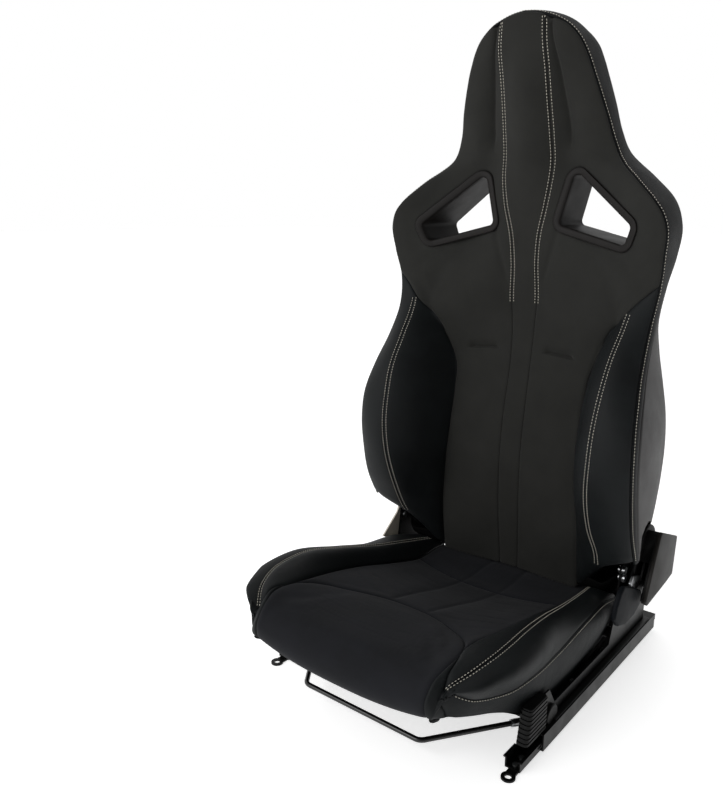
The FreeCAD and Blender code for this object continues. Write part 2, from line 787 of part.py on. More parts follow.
# Recline discs, rod, lever and cover
def hinge_disc(x_from, label_left, label_right, thick):
    body = new_body(label_left)
    rings = [("pivot_y", "pivot_z", "disc_radius"), ("pivot_y", "pivot_z", "rod_dia/2 + rod_fit")]
    pad(body, add_sketch(body, "YZ_Plane", x_from, circles=rings), thick)
    keep(body, label_left)
    keep(mirrored(body, label_right), label_right)


hinge_disc("member_x - disc_thick", "fixed_disc_left", "fixed_disc_right", "disc_thick")
MOVING = "(member_x - 2*disc_thick - disc_gap)"
hinge_disc(MOVING, "moving_disc_left", "moving_disc_right", "disc_thick")
ARM_OUT = MOVING


def back_arm():
    """Pressed side plate of the back frame, from the pivot to the upper cross tube."""
    body = new_body("back_arm_left")
    start = "(" + ARM_OUT + " - plate_thick)"
    profile = [
        ("pivot_y - 30", "pivot_z"),
        ("pivot_y + 30", "pivot_z"),
        ("frame_y + arm_width/2", "cross_low_z"),
        ("frame_y + arm_width/2", "arm_top"),
        ("frame_y - arm_width/2 + 6", "arm_top"),
        ("frame_y - arm_width/2 + 2", "cross_low_z"),
    ]
    pad(body, add_sketch(body, "YZ_Plane", start, [profile]), "plate_thick")
    foot = [("pivot_y", "pivot_z", "disc_radius")]
    pad(body, add_sketch(body, "YZ_Plane", start, circles=foot), "plate_thick")
    doc.recompute()
    holes = [("pivot_y", "pivot_z", "rod_dia/2 + rod_fit")]
    pocket(body, add_sketch(body, "YZ_Plane", start, circles=holes), "4*plate_thick")
    return keep(body, "back_arm_left")


keep(mirrored(back_arm(), "back_arm_right"), "back_arm_right")


def arm_inner_x():
    return size("member_x") - 2 * size("disc_thick") - size("disc_gap") - size("plate_thick")


def frame_tube(alias, label):
    tube = doc.addObject("Part::Cylinder", label)
    span = "(member_x - 2*disc_thick - disc_gap - plate_thick)"
    tube.setExpression("Radius", expression("frame_tube_dia/2"))
    tube.setExpression("Height", expression("2*" + span))
    tube.setExpression(".Placement.Base.x", expression("-" + span))
    tube.setExpression(".Placement.Base.y", expression("frame_y"))
    tube.setExpression(".Placement.Base.z", expression(alias))
    tube.Placement = FreeCAD.Placement(vec(0, 0, 0), FreeCAD.Rotation(vec(0, 1, 0), 90))
    return keep(tube, label)


frame_tube("cross_low_z", "lower_back_tube")
frame_tube("cross_high_z", "upper_back_tube")


def head_hoop():
    """Bent tube that stands on the upper cross tube and carries the head part."""
    half = size("head_tube_half")
    seat = size("cross_high_z") + size("frame_tube_dia") / 2
    y = size("frame_y")
    top = size("head_tube_top")
    points = [vec(-half, y, seat), vec(-half, y, 870), vec(-half, y - 26, top),
              vec(half, y - 26, top), vec(half, y, 870), vec(half, y, seat)]
    hoop = tube_along(points, size("head_tube_dia") / 2, 24)
    return hoop


head_hoop_shape = head_hoop()
keep(feature_of(head_hoop_shape, "head_hoop"), "head_hoop")


def lumbar_wires():
    """Sprung wires across the back frame behind the foam."""
    shapes = []
    reach = arm_inner_x()
    for z in (350, 390, 430):
        y = size("frame_y") + 1.5
        points = [vec(-reach, y, z), vec(-reach + 40, y, z), vec(-reach + 60, y - 3, z),
                  vec(reach - 60, y - 3, z), vec(reach - 40, y, z), vec(reach, y, z)]
        shapes.append(tube_along(points, 2.0, 12))
    return keep(group_of(shapes, "lumbar_wires"), "lumbar_wires")


lumbar_wires()


# Recline lever: rod across the pivot, flat arm and moulded grip
LEVER_OUTLINE = [(-30, -47), (-113, -50), (-148, -55), (-157, -77), (-141, -101), (-105, -110),
                 (-60, -110), (-29, -93)]


def recline_rod():
    """Rod through both hinges, which turns with the lever and frees both discs."""
    rod = doc.addObject("Part::Cylinder", "recline_rod")
    rod.setExpression("Radius", expression("rod_dia/2"))
    rod.setExpression("Height", expression("member_x + plate_thick + 4 + lever_x + lever_thick"))
    rod.setExpression(".Placement.Base.x", expression("-(member_x + plate_thick + 4)"))
    rod.setExpression(".Placement.Base.y", expression("pivot_y"))
    rod.setExpression(".Placement.Base.z", expression("pivot_z"))
    rod.Placement = FreeCAD.Placement(vec(0, 0, 0), FreeCAD.Rotation(vec(0, 1, 0), 90))
    return keep(rod, "recline_rod")


recline_rod()


def lever_arm():
    """Flat steel arm from the rod forward and down through the slot of the cover."""
    x = size("lever_x")
    py = size("pivot_y")
    pz = size("pivot_z")
    hub = cylinder_x(x, x + size("lever_thick"), py, pz, size("lever_hub"))
    blade = prism_x([(py + 6, pz - 11), (py - 11, pz + 6), (py - 40, pz - 52), (py - 90, pz - 74),
                     (py - 90, pz - 90), (py - 30, pz - 74)], x, x + size("lever_thick"))
    arm = hub.fuse(blade).removeSplitter()
    arm = arm.cut(cylinder_x(x - 1, x + 20, py, pz, size("rod_dia") / 2 + size("rivet_fit")))
    return arm


lever_arm_shape = lever_arm()
keep(feature_of(lever_arm_shape, "lever_arm"), "lever_arm")


def lever_grip():
    """Moulded paddle over the front of the arm, with rounded edges."""
    x = size("lever_x") + size("lever_thick") / 2 - size("grip_thick") / 2
    outline = [(size("pivot_y") + y, size("pivot_z") + z) for y, z in LEVER_OUTLINE]
    grip = prism_x(outline, x, x + size("grip_thick"))
    grip = grip.makeFillet(4.0, grip.Edges)
    pocket_shape = lever_arm_shape.makeOffsetShape(0.1, 0.01, join=2)
    return keep(feature_of(grip.cut(pocket_shape), "lever_grip"), "lever_grip")


lever_grip()
COVER_OUTLINE = [(206, 238), (234, 243), (304, 202), (296, 130), (262, 124), (172, 116), (164, 126)]


def recliner_cover():
    """Moulded cover over the lever-side hinge, open towards the arm."""
    wall = size("cover_wall")
    inner = size("member_x") + size("plate_thick") + size("cover_fit")
    outer = size("cover_outer_x")
    step = size("cover_step_x")
    whole = prism_x(COVER_OUTLINE, step, outer)
    near = [e for e in whole.Edges if e.CenterOfMass.x > step + 1]
    whole = whole.makeFillet(3.5, near)
    boss = cylinder_x(inner, step + 1, size("pivot_y"), size("pivot_z"), size("hinge_radius") + wall + 1)
    front = prism_x([(206, 238), (190, 190), (164, 126), (172, 116), (240, 119), (255, 170)], inner, step + 1)
    solid = whole.fuse([boss, front]).removeSplitter()
    centre_y = sum(p[0] for p in COVER_OUTLINE) / len(COVER_OUTLINE)
    centre_z = sum(p[1] for p in COVER_OUTLINE) / len(COVER_OUTLINE)
    shrunk = [(y + (centre_y - y) * 0.05, z + (centre_z - z) * 0.05) for y, z in COVER_OUTLINE]
    room = prism_x(shrunk, step + wall, outer - wall)
    room = room.fuse([
        cylinder_x(inner - 1, step + wall + 1, size("pivot_y"), size("pivot_z"), size("hinge_radius") + 1),
        prism_x([(208, 228), (194, 190), (170, 127), (175, 120), (236, 122), (250, 168)], inner - 1, step + 3),
    ])
    cover = solid.cut(room)
    lever = size("lever_x") + size("lever_thick") / 2
    mouth = box_between((lever - 8.5, 140, 105), (lever + 8.5, 232, 186))
    cover = cover.cut(mouth)
    return keep(feature_of(cover, "recliner_cover"), "recliner_cover")


recliner_cover()


def hinge_bracket():
    """Bare metal bracket outside the arm on the side without a lever."""
    body = new_body("hinge_bracket")
    start = "-(member_x + plate_thick + bracket_thick)"
    profile = [
        ("arm_bolt_y - 67", "arm_bolt_z - 28"),
        ("arm_bolt_y - 47", "arm_bolt_z - 38"),
        ("arm_bolt_y + 1", "arm_bolt_z - 51"),
        ("arm_bolt_y + 18", "arm_bolt_z - 13"),
        ("arm_bolt_y + 8", "arm_bolt_z + 24"),
        ("arm_bolt_y - 12", "arm_bolt_z + 24"),
        ("arm_bolt_y - 21", "arm_bolt_z + 9"),
    ]
    pad(body, add_sketch(body, "YZ_Plane", start, [profile]), "bracket_thick")
    doc.recompute()
    holes = [
        ("arm_bolt_y", "arm_bolt_z", "arm_bolt_dia/2 + rivet_fit"),
        ("arm_bolt_y - 2", "arm_bolt_z + arm_bolt_spacing", "arm_bolt_dia/2 + rivet_fit"),
    ]
    pocket(body, add_sketch(body, "YZ_Plane", start, circles=holes), "4*bracket_thick")
    return keep(body, "hinge_bracket")


hinge_bracket()


# Soft forms of the back
def arc_between(start, end, bulge):
    """Arc that leaves its chord by the given vector at the middle."""
    return Part.Arc(start, (start + end) * 0.5 + bulge, end).toShape()


def back_section(row, inset, lift):
    """Closed outline of the back at one height, drawn in by inset at the sides and the rear."""
    z, seam_x, seam_y, crest_x, crest_y, inner_x, inner_y, centre_y, corner_x, corner_y, rear_y = row
    z += lift
    seam_x -= inset
    corner_x -= inset
    corner_y -= 0.6 * inset
    rear_y -= inset
    dip = centre_y - inner_y
    if abs(dip) < 2:
        dip = 2
    edges = [arc_between(vec(-inner_x, inner_y, z), vec(inner_x, inner_y, z), vec(0, dip, 0))]
    right = [
        (vec(inner_x, inner_y, z), vec(crest_x, crest_y, z), vec(2, 3, 0)),
        (vec(crest_x, crest_y, z), vec(seam_x, seam_y, z), vec(0, -6, 0)),
        (vec(seam_x, seam_y, z), vec(corner_x, corner_y, z), vec(3, 0, 0)),
    ]
    for start, end, bulge in right:
        edges.append(arc_between(start, end, bulge))
    rear_bulge = vec(0, rear_y - corner_y, 0)
    edges.append(arc_between(vec(corner_x, corner_y, z), vec(-corner_x, corner_y, z), rear_bulge))
    for start, end, bulge in reversed(right):
        edges.append(arc_between(vec(-end.x, end.y, z), vec(-start.x, start.y, z), vec(-bulge.x, bulge.y, 0)))
    return Part.Wire(edges)


def back_form(inset, push=0.0):
    """Outer form of the back, or a core drawn in by a wall and pushed out through the front and the bottom."""
    sections = []
    for place, row in enumerate(BACK_ROWS):
        moved = list(row)
        for column in (2, 4, 6, 7):
            moved[column] -= push
        lift = -inset if place > len(BACK_ROWS) - 3 else 0
        if place == 0:
            lift = -push
        sections.append(back_section(tuple(moved), inset, lift))
    return Part.makeLoft(sections, True, True)


def both_sides(shape):
    return shape.fuse(shape.mirror(vec(0, 0, 0), vec(1, 0, 0)))


FAR = 500.0


def slot_corners(grow):
    """Corners of the left harness opening, moved outwards by grow."""
    corners = [(size("slot_inner_x"), size("slot_inner_z")), (size("slot_low_x"), size("slot_low_z")),
               (size("slot_outer_x"), size("slot_outer_z")), (size("slot_top_x"), size("slot_top_z"))]
    return grown_outline(corners, grow)


def grown_outline(corners, grow):
    """Offset a convex outline, given anticlockwise, by moving its sides outwards."""
    moved = []
    total = len(corners)
    lines = []
    for i in range(total):
        x1, z1 = corners[i]
        x2, z2 = corners[(i + 1) % total]
        length = math.hypot(x2 - x1, z2 - z1)
        out_x, out_z = (z2 - z1) / length, -(x2 - x1) / length
        lines.append((x1 + out_x * grow, z1 + out_z * grow, x2 - x1, z2 - z1))
    for i in range(total):
        ax, az, adx, adz = lines[i - 1]
        bx, bz, bdx, bdz = lines[i]
        cross = adx * bdz - adz * bdx
        along = ((bx - ax) * bdz - (bz - az) * bdx) / cross
        moved.append((ax + adx * along, az + adz * along))
    return moved


def slot_prism(grow, y_from, y_to):
    """Harness opening as a solid, with rounded corners."""
    shape = prism_y(slot_corners(grow), y_from, y_to)
    upright = [e for e in shape.Edges if abs(e.BoundBox.YLength - (y_to - y_from)) < 0.01]
    return shape.makeFillet(size("slot_round") + grow, upright)


outer_form = back_form(0)
inner_form = back_form(size("shell_wall"), 40)
foam_form = back_form(size("shell_wall") + size("foam_fit"), 40)
edge_line = [(y, z) for y, z in SHELL_EDGE]
behind_edge = prism_x(edge_line + [(FAR, 1140), (FAR, 60)], -FAR, FAR)
shell_zone = prism_x([(y - size("foam_fit"), z) for y, z in edge_line] + [(FAR, 1140), (FAR, 60)], -FAR, FAR)
front_of_frame = prism_x(FOAM_REAR + [(-FAR, 1140), (-FAR, 60)], -FAR, FAR)
# everything below the slanted lower edge of the back
under_back = prism_y([(150, 40), (FAR, 40), (FAR, 330), (262, 205), (205, 172), (150, 112)], -FAR, FAR)


def sweep_room():
    """Space below the pivot that the lower end of the back must leave to the cushion."""
    py = size("pivot_y")
    pz = size("pivot_z")
    block = box_between((-FAR, py - 300, 0), (FAR, py + 300, pz - 20))
    return block.cut(cylinder_x(-FAR, FAR, py, pz, size("sweep_radius")))


def hinge_room():
    """Space at each side for the arms, the discs and the inner part of the cover."""
    py = size("pivot_y")
    pz = size("pivot_z")
    inner = arm_inner_x() - 0.6
    room = cylinder_x(inner, FAR, py, pz, size("hinge_radius") + 8)
    room = room.fuse([
        box_between((inner, 128, 0), (FAR, py + 110, pz - 2)),
        box_between((inner, 150, 0), (size("member_x") + 8, py + 42, pz + 40)),
    ])
    return room


def arm_room():
    """Space in the foam for the plates above the hinge."""
    inner = arm_inner_x() - 0.6
    outline = [(size("pivot_y") - 36, size("pivot_z")), (FAR, size("pivot_z")), (FAR, size("arm_top") + 1),
               (size("frame_y") - size("arm_width") / 2 + 5, size("arm_top") + 1),
               (size("frame_y") - size("arm_width") / 2 + 1, size("cross_low_z"))]
    return prism_x(outline, inner, inner + size("plate_thick") + 1.2)


trim_low = both_sides(under_back.fuse(hinge_room())).fuse(sweep_room())
tunnels = both_sides(slot_prism(0, -FAR, FAR))


def back_shell():
    """Hard shell behind the back, open to the front."""
    skin = outer_form.common(behind_edge).cut(inner_form)
    floor_cut = prism_x([(-FAR, 0), (FAR, 0), (FAR, 170), (310, 158), (220, 150), (-FAR, 150)], -FAR, FAR)
    skin = skin.cut([trim_low, both_sides(slot_prism(size("bezel_wall") + size("bezel_fit"), -FAR, FAR)), floor_cut])
    skin = largest(skin)
    return keep(feature_of(skin, "back_shell"), "back_shell")


def largest(shape):
    """Drop slivers that a cut leaves behind."""
    return sorted(shape.Solids, key=lambda s: s.Volume)[-1]


back_shell()


def foam_block():
    """All the foam of the back in one piece, with room for the frame."""
    foam = outer_form.common(front_of_frame).cut(shell_zone.cut(foam_form))
    room = both_sides(arm_room())
    hoop = head_hoop_room()
    wide = size("bezel_wall") + size("bezel_fit")
    return foam.cut([trim_low, room, hoop, both_sides(slot_prism(wide, -FAR, FAR)), rod_room(), tube_room()])


def rod_room():
    return cylinder_x(-FAR, FAR, size("pivot_y"), size("pivot_z"), size("rod_dia") / 2 + 6)


def tube_room():
    """Clear band round the cross tubes."""
    radius = size("frame_tube_dia") / 2 + 0.5
    low = cylinder_x(-FAR, FAR, size("frame_y"), size("cross_low_z"), radius)
    high = cylinder_x(-FAR, FAR, size("frame_y"), size("cross_high_z"), radius)
    return low.fuse(high)


def head_hoop_room():
    """Slot in the foam from the rear for the head hoop."""
    half = size("head_tube_half") + size("head_tube_dia") / 2 + 0.6
    thick = size("head_tube_dia") / 2 + 2.0
    y = size("frame_y")
    bottom = size("cross_high_z")
    top = size("head_tube_top") + thick
    outline = [(y - thick, bottom), (y - thick, 868), (y - 26 - thick, top), (FAR, top), (FAR, bottom)]
    slab = prism_x(outline, -half, half)
    return slab


foam = foam_block()
BOLSTER_SEAM = [(146, 60), (142, 214), (134, 330), (132, 440), (136, 495), (154, 540), (186, 590), (240, 648)]
STRIP_SEAM = [(19, 60), (21, 200), (21, 430), (20, 560), (24, 620), (23, 690), (27, 735), (38, 781), (45, 830), (44, 860)]
HEAD_SEAM = [(73, 860), (72, 895), (66, 940), (59, 990), (52, 1030), (44, 1100)]
HEAD_BASE = 860.0


def side_region(seam, far_x, y_from=-FAR, y_to=FAR):
    """Everything outside a seam line on the +X side."""
    low = seam[0][1]
    high = seam[-1][1]
    return prism_y(seam + [(far_x, high), (far_x, low)], y_from, y_to)


def middle_region(seam):
    """Everything between a seam line and its mirror image."""
    return prism_y(seam + [(-x, z) for x, z in reversed(seam)], -FAR, FAR)


def soft_part(shape, label):
    return keep(feature_of(largest(shape), label), label)


def soft_pair(region, block, stem):
    left = largest(block.common(region))
    keep(feature_of(left, stem + "_left"), stem + "_left")
    right = left.mirror(vec(0, 0, 0), vec(1, 0, 0))
    keep(feature_of(right, stem + "_right"), stem + "_right")


bolster_region = side_region(BOLSTER_SEAM, FAR)
strip_region = middle_region(STRIP_SEAM)
below_head = box_between((-FAR, -FAR, 40), (FAR, FAR, HEAD_BASE))
soft_pair(bolster_region, foam, "back_bolster")
soft_part(foam.common(strip_region), "back_center_strip")
panel_region = below_head.common(box_between((0, -FAR, 0), (FAR, FAR, FAR * 3))).cut([bolster_region, strip_region])
soft_pair(panel_region, foam, "back_panel")
soft_part(foam.common(middle_region(HEAD_SEAM)), "head_pad")
wing_region = box_between((0, -FAR, HEAD_BASE), (FAR, FAR, FAR * 3)).cut(middle_region(HEAD_SEAM))
soft_pair(wing_region, foam, "head_wing")


# Bezels of the harness openings
def harness_bezels():
    """Moulded frames with a sleeve that runs through foam and shell."""
    wall = size("bezel_wall")
    proud = size("bezel_proud")
    sleeve = slot_prism(wall, 60, FAR).cut(slot_prism(0, 50, FAR + 10))
    lip = slot_prism(size("bezel_width"), 60, FAR).cut(slot_prism(0, 50, FAR + 10))
    rows = [list(row) for row in BACK_ROWS]
    lifted = []
    sunk = []
    for row in rows:
        for target, shift in ((lifted, -proud), (sunk, -0.3)):
            moved = list(row)
            for column in (2, 4, 6, 7):
                moved[column] += shift
            target.append(tuple(moved))
    over = Part.makeLoft([back_section(r, 0, 0) for r in lifted], True, True)
    under = Part.makeLoft([back_section(r, 0, 0) for r in sunk], True, True)
    ring = lip.common(over).cut(under)
    ring = largest(ring)
    body = largest(over.common(sleeve).common(box_between((0, 0, 0), (FAR, 250, FAR * 3))))
    left = largest(ring.fuse(body))
    keep(feature_of(left, "harness_bezel_left"), "harness_bezel_left")
    right = left.mirror(vec(0, 0, 0), vec(1, 0, 0))
    keep(feature_of(right, "harness_bezel_right"), "harness_bezel_right")


harness_bezels()


# Soft forms of the cushion
def cushion_section(row):
    """Closed outline of the cushion at one depth."""
    y, centre_z, valley_x, valley_z, crest_x, crest_z, side_x, side_z, low_x, low_z = row
    crown = centre_z - valley_z
    if abs(crown) < 2:
        crown = 2
    edges = [arc_between(vec(-valley_x, y, valley_z), vec(valley_x, y, valley_z), vec(0, 0, crown))]
    right = [
        (vec(valley_x, y, valley_z), vec(crest_x, y, crest_z), vec(-1, 0, 2)),
        (vec(crest_x, y, crest_z), vec(side_x, y, side_z), vec(4, 0, 2)),
        (vec(side_x, y, side_z), vec(low_x, y, low_z), vec(-2, 0, -1)),
    ]
    for start, end, bulge in right:
        edges.append(arc_between(start, end, bulge))
    edges.append(Part.LineSegment(vec(low_x, y, low_z), vec(-low_x, y, low_z)).toShape())
    for start, end, bulge in reversed(right):
        edges.append(arc_between(vec(-end.x, y, end.z), vec(-start.x, y, start.z), vec(-bulge.x, 0, bulge.z)))
    return Part.Wire(edges)


def cushion_block():
    """All the foam of the cushion, hollow over the pan and the tubes."""
    form = Part.makeLoft([cushion_section(row) for row in CUSHION_ROWS], True, True)
    top = size("cross_tube_z") + size("cross_tube_dia") / 2 + size("pan_thick") + size("foam_fit")
    front = size("pan_front") - size("foam_fit")
    rise = size("pan_rise")
    pan = prism_x([(FAR, 0), (FAR, top), (size("pan_knee"), top), (front, top + rise), (front, 0)],
                  -size("pan_half") - 2, size("pan_half") + 2)
    tubes = []
    for alias in ("front_tube_y", "rear_tube_y"):
        radius = size("cross_tube_dia") / 2 + 0.5
        y = size(alias)
        tube = cylinder_x(-FAR, FAR, y, size("cross_tube_z"), radius)
        below = box_between((-FAR, y - radius, 0), (FAR, y + radius, size("cross_tube_z")))
        tubes += [tube, below]
    sweep = cylinder_x(-FAR, FAR, size("pivot_y"), size("pivot_z"), size("cushion_clearance"))
    nuts = box_between((size("member_x") - 5, 120, 30), (FAR, 260, 260))
    pivot_y = size("bar_pivot_y")
    pivot_z = size("bar_pivot_z")
    plate = size("rail_x") - size("upper_rail_width") / 2 - size("lock_gap") - size("lock_thick")
    room = plate - size("lever_room")
    levers = box_between((room, pivot_y - 45, 0), (size("member_x") - 21, pivot_y + 65, pivot_z + 15))
    pins = box_between((room, pivot_y - 5, 0), (FAR, pivot_y + 5, pivot_z + 5))
    return form.cut([pan, sweep] + tubes + [both_sides(void) for void in (nuts, levers, pins)])


cushion = cushion_block()
VALLEY_SEAM = [(158.5, -400), (162.5, -304), (164.5, -284), (164.5, -257), (161.5, -210), (163.3, -162),
               (162.3, -82), (157.3, 19), (154.5, 104), (156.5, 170), (156.5, 260)]
THIGH_SEAM = [(-170, -238), (-136, -204), (-101, -177), (-66, -155), (-30, -141), (0, -137),
              (30, -141), (66, -155), (101, -177), (136, -204), (170, -238)]
bolster_side = prism_z(VALLEY_SEAM + [(FAR, 260), (FAR, -400)], -10, 400)
soft_pair(bolster_side, cushion, "cushion_bolster")
between = cushion.cut(both_sides(bolster_side))
thigh_region = prism_z(THIGH_SEAM + [(FAR, -238), (FAR, -450), (-FAR, -450), (-FAR, -238)], -10, 400)
soft_part(between.common(thigh_region), "cushion_front")
soft_part(between.cut(thigh_region), "cushion_center")

doc.recompute()

# Every object has to be sound before anything is written
faults = [o.Name for o in doc.Objects if "Invalid" in o.State or "Error" in o.State]
for piece in parts:
    if piece.Shape.isNull() or not piece.Shape.isValid() or not piece.Shape.Solids:
        faults.append(piece.Label)
if faults:
    raise SystemExit("unsound: " + ", ".join(faults))

os.makedirs("parts", exist_ok=True)
for piece in parts:
    piece.Shape.exportStep("parts/%s.step" % piece.Label)
    print("%-22s %2d solids %10.1f mm3" % (piece.Label, len(piece.Shape.Solids), piece.Shape.Volume))
print("nodes", len(parts))
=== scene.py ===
import bpy, bmesh, json, math
import numpy as np
from mathutils import Vector, Matrix
from mathutils.geometry import delaunay_2d_cdt
from mathutils.kdtree import KDTree
from mathutils.bvhtree import BVHTree


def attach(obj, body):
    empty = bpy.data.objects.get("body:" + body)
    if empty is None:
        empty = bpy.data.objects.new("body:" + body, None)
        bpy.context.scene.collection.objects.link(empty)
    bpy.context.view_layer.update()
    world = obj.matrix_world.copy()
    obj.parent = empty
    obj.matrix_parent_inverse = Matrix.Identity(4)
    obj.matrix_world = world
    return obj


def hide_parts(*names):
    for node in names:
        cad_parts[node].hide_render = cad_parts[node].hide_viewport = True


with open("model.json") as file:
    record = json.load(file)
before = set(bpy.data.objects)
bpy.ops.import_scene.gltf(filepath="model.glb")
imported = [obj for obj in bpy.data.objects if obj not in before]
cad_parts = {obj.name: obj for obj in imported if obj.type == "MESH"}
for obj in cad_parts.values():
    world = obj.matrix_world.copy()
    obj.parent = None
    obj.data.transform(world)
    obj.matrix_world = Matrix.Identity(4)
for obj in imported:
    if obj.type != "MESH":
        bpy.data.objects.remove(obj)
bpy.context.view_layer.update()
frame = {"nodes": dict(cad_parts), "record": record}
bpy.ops.object.select_all(action='DESELECT')
mm = 0.001
print("frame loaded")

# camera at the photograph's angle, found from matching left and right points of the seat
viewSetup = {"place": (0.66333, -1.07527, 0.76770), "pitch": 13.848, "turn": 39.303, "lens": 34.726,
             "sensor": 36}
bpy.ops.object.camera_add(location=viewSetup["place"],
                          rotation=(math.radians(90 - viewSetup["pitch"]), 0,
                                    math.radians(viewSetup["turn"])))
camera = bpy.context.object
camera.name = "photoCamera"
camera.data.sensor_fit = 'AUTO'
camera.data.sensor_width = viewSetup["sensor"]
camera.data.lens = viewSetup["lens"]
bpy.context.scene.camera = camera


# small helpers for tables and curves, all in millimetres
def splineAt(knots, values, at):
    knots, values, at = np.asarray(knots, float), np.asarray(values, float), np.asarray(at, float)
    slope = np.gradient(values, knots, axis=0)
    i = np.clip(np.searchsorted(knots, at) - 1, 0, len(knots) - 2)
    h = knots[i + 1] - knots[i]
    u = (at - knots[i]) / h
    if values.ndim > 1:
        h, u = h[..., None], u[..., None]
    return ((2 * u**3 - 3 * u**2 + 1) * values[i] + (u**3 - 2 * u**2 + u) * h * slope[i]
            + (3 * u**2 - 2 * u**3) * values[i + 1] + (u**3 - u**2) * h * slope[i + 1])


def arcLength(points):
    return np.concatenate([[0], np.cumsum(np.linalg.norm(np.diff(points, axis=0), axis=1))])


def curveThrough(points, step, samples=400):
    points = np.asarray(points, float)
    dense = splineAt(arcLength(points), points, np.linspace(0, arcLength(points)[-1], samples))
    return evenly(dense, step)


def evenly(points, step):
    points = np.asarray(points, float)
    run = arcLength(points)
    count = max(2, int(round(run[-1] / step)) + 1)
    at = np.linspace(0, run[-1], count)
    return np.stack([np.interp(at, run, points[:, k]) for k in range(points.shape[1])], axis=1)


def closed(loop):
    return np.vstack([loop, loop[:1]])


def flipped(line):
    return line * [-1, 1]


def alongLine(line, distance):
    run = arcLength(line)
    return [np.interp(distance, run, line[:, k]) for k in range(line.shape[1])]


def sideStep(points, distance):
    ahead = np.gradient(points, axis=0)
    ahead /= np.linalg.norm(ahead, axis=1)[:, None] + 1e-9
    return points + np.stack([-ahead[:, 1], ahead[:, 0]], axis=1) * distance


def distanceTo(points, line):
    best = np.full(len(points), 1e9)
    for start, end in zip(line[:-1], line[1:]):
        run = end - start
        t = np.clip(((points - start) @ run) / (run @ run + 1e-12), 0, 1)
        best = np.minimum(best, np.linalg.norm(points - start - t[:, None] * run, axis=1))
    return best


def insideOf(points, loop):
    inside = np.zeros(len(points), bool)
    for (x1, z1), (x2, z2) in zip(loop, np.roll(loop, -1, axis=0)):
        crossing = (z1 > points[:, 1]) != (z2 > points[:, 1])
        at = x1 + (points[:, 1] - z1) / (z2 - z1 + 1e-12) * (x2 - x1)
        inside ^= crossing & (points[:, 0] < at)
    return inside


def smoothStep(low, high, value):
    t = np.clip((value - low) / (high - low), 0, 1)
    return t * t * (3 - 2 * t)


# front of the back rest as a depth over width and height, smoothed through this table
# height; outer seam x and depth; bolster crest x and depth; inner seam x and depth; centre depth
backTable = np.array([
    (60, 261, 162, 196, 158, 143, 182, 187), (96, 262, 154, 196, 150, 143, 177, 184),
    (160, 263, 132, 196, 132, 141, 168, 177), (214, 265, 106, 199, 106, 140, 163, 171),
    (270, 266, 78, 198, 73, 136, 163, 167), (330, 265, 63, 198, 51, 132, 164, 166),
    (390, 264, 57, 200, 46, 130, 168, 171), (440, 261, 63, 201, 53, 130, 176, 179),
    (490, 254, 86, 202, 69, 134, 184, 188), (545, 245, 120, 203, 102, 152, 178, 195),
    (595, 242, 146, 206, 139, 182, 163, 196), (650, 248, 158, 214, 158, 160, 173, 192),
    (700, 254, 147, 205, 158, 120, 181, 187), (750, 256, 138, 195, 155, 110, 187, 182),
    (787, 235, 138, 180, 159, 98, 189, 177), (822, 197, 157, 150, 170, 84, 190, 173),
    (858, 157, 189, 112, 184, 73, 192, 168), (895, 140, 189, 102, 180, 72, 186, 161),
    (940, 128, 175, 96, 168, 66, 173, 152), (990, 112, 162, 86, 156, 59, 157, 143),
    (1030, 97, 154, 74, 147, 52, 142, 138), (1060, 98, 152, 72, 145, 49, 140, 138),
    (1110, 100, 158, 72, 149, 47, 143, 141)], float)


# where the crease beside the bolsters runs out upward, and how the form leaves each line of the table
backForm = {"low": 60.0, "high": 1111.0, "row": 2.0, "half": 301.0, "creaseEnd": (540, 650),
            "counts": (50, 60, 60), "leaveInner": (0.45, -0.9), "overCrest": (0.93, -0.38),
            "intoSeam": (0.8, 0.62), "seamTurn": (0.2, 0.22), "pastSeam": 0.8}


def cubic(u, start, end, leave, arrive, reach):
    return ((2 * u**3 - 3 * u**2 + 1) * start + (u**3 - 2 * u**2 + u) * leave * reach
            + (3 * u**2 - 2 * u**3) * end + (u**3 - u**2) * arrive * reach)


def span(start, end, leave, arrive, count):
    reach = np.linalg.norm(end - start, axis=1)[:, None, None]
    return cubic(np.linspace(0, 1, count)[None, :, None],
                 *(v[:, None, :] for v in (start, end, leave, arrive)), reach)


def unit(v):
    return v / (np.linalg.norm(v, axis=-1, keepdims=True) + 1e-9)


heights = np.arange(backForm["low"], backForm["high"], backForm["row"])
widths = np.arange(0.0, backForm["half"], 1.0)
rowsNow = splineAt(backTable[:, 0], backTable[:, 1:], heights)
seamP, crestP, innerP = rowsNow[:, 0:2], rowsNow[:, 2:4], rowsNow[:, 4:6]
centreP = np.stack([np.zeros(len(heights)), rowsNow[:, 6]], axis=1)
crease = (1 - smoothStep(*backForm["creaseEnd"], heights))[:, None]
flat = np.tile([1.0, 0.0], (len(heights), 1))
leaveInner = crease * backForm["leaveInner"] + (1 - crease) * flat
atCrest = crease * backForm["overCrest"] + (1 - crease) * unit(seamP - innerP)
atSeam = crease * backForm["intoSeam"] + (1 - crease) * unit(unit(seamP - crestP) + backForm["seamTurn"])
toInner, toCrest, toSeam = backForm["counts"]
profile = np.concatenate([span(centreP, innerP, flat, flat, toInner),
                          span(innerP, crestP, leaveInner, atCrest, toCrest),
                          span(crestP, seamP, atCrest, atSeam, toSeam)], axis=1)
depthGrid = np.empty((len(heights), len(widths)))
for k in range(len(heights)):
    run = np.maximum.accumulate(profile[k, :, 0] + np.arange(profile.shape[1]) * 1e-6)
    depthGrid[k] = np.interp(widths, run, profile[k, :, 1])
    past = widths > run[-1]
    depthGrid[k, past] = profile[k, -1, 1] + (widths[past] - run[-1]) * backForm["pastSeam"]


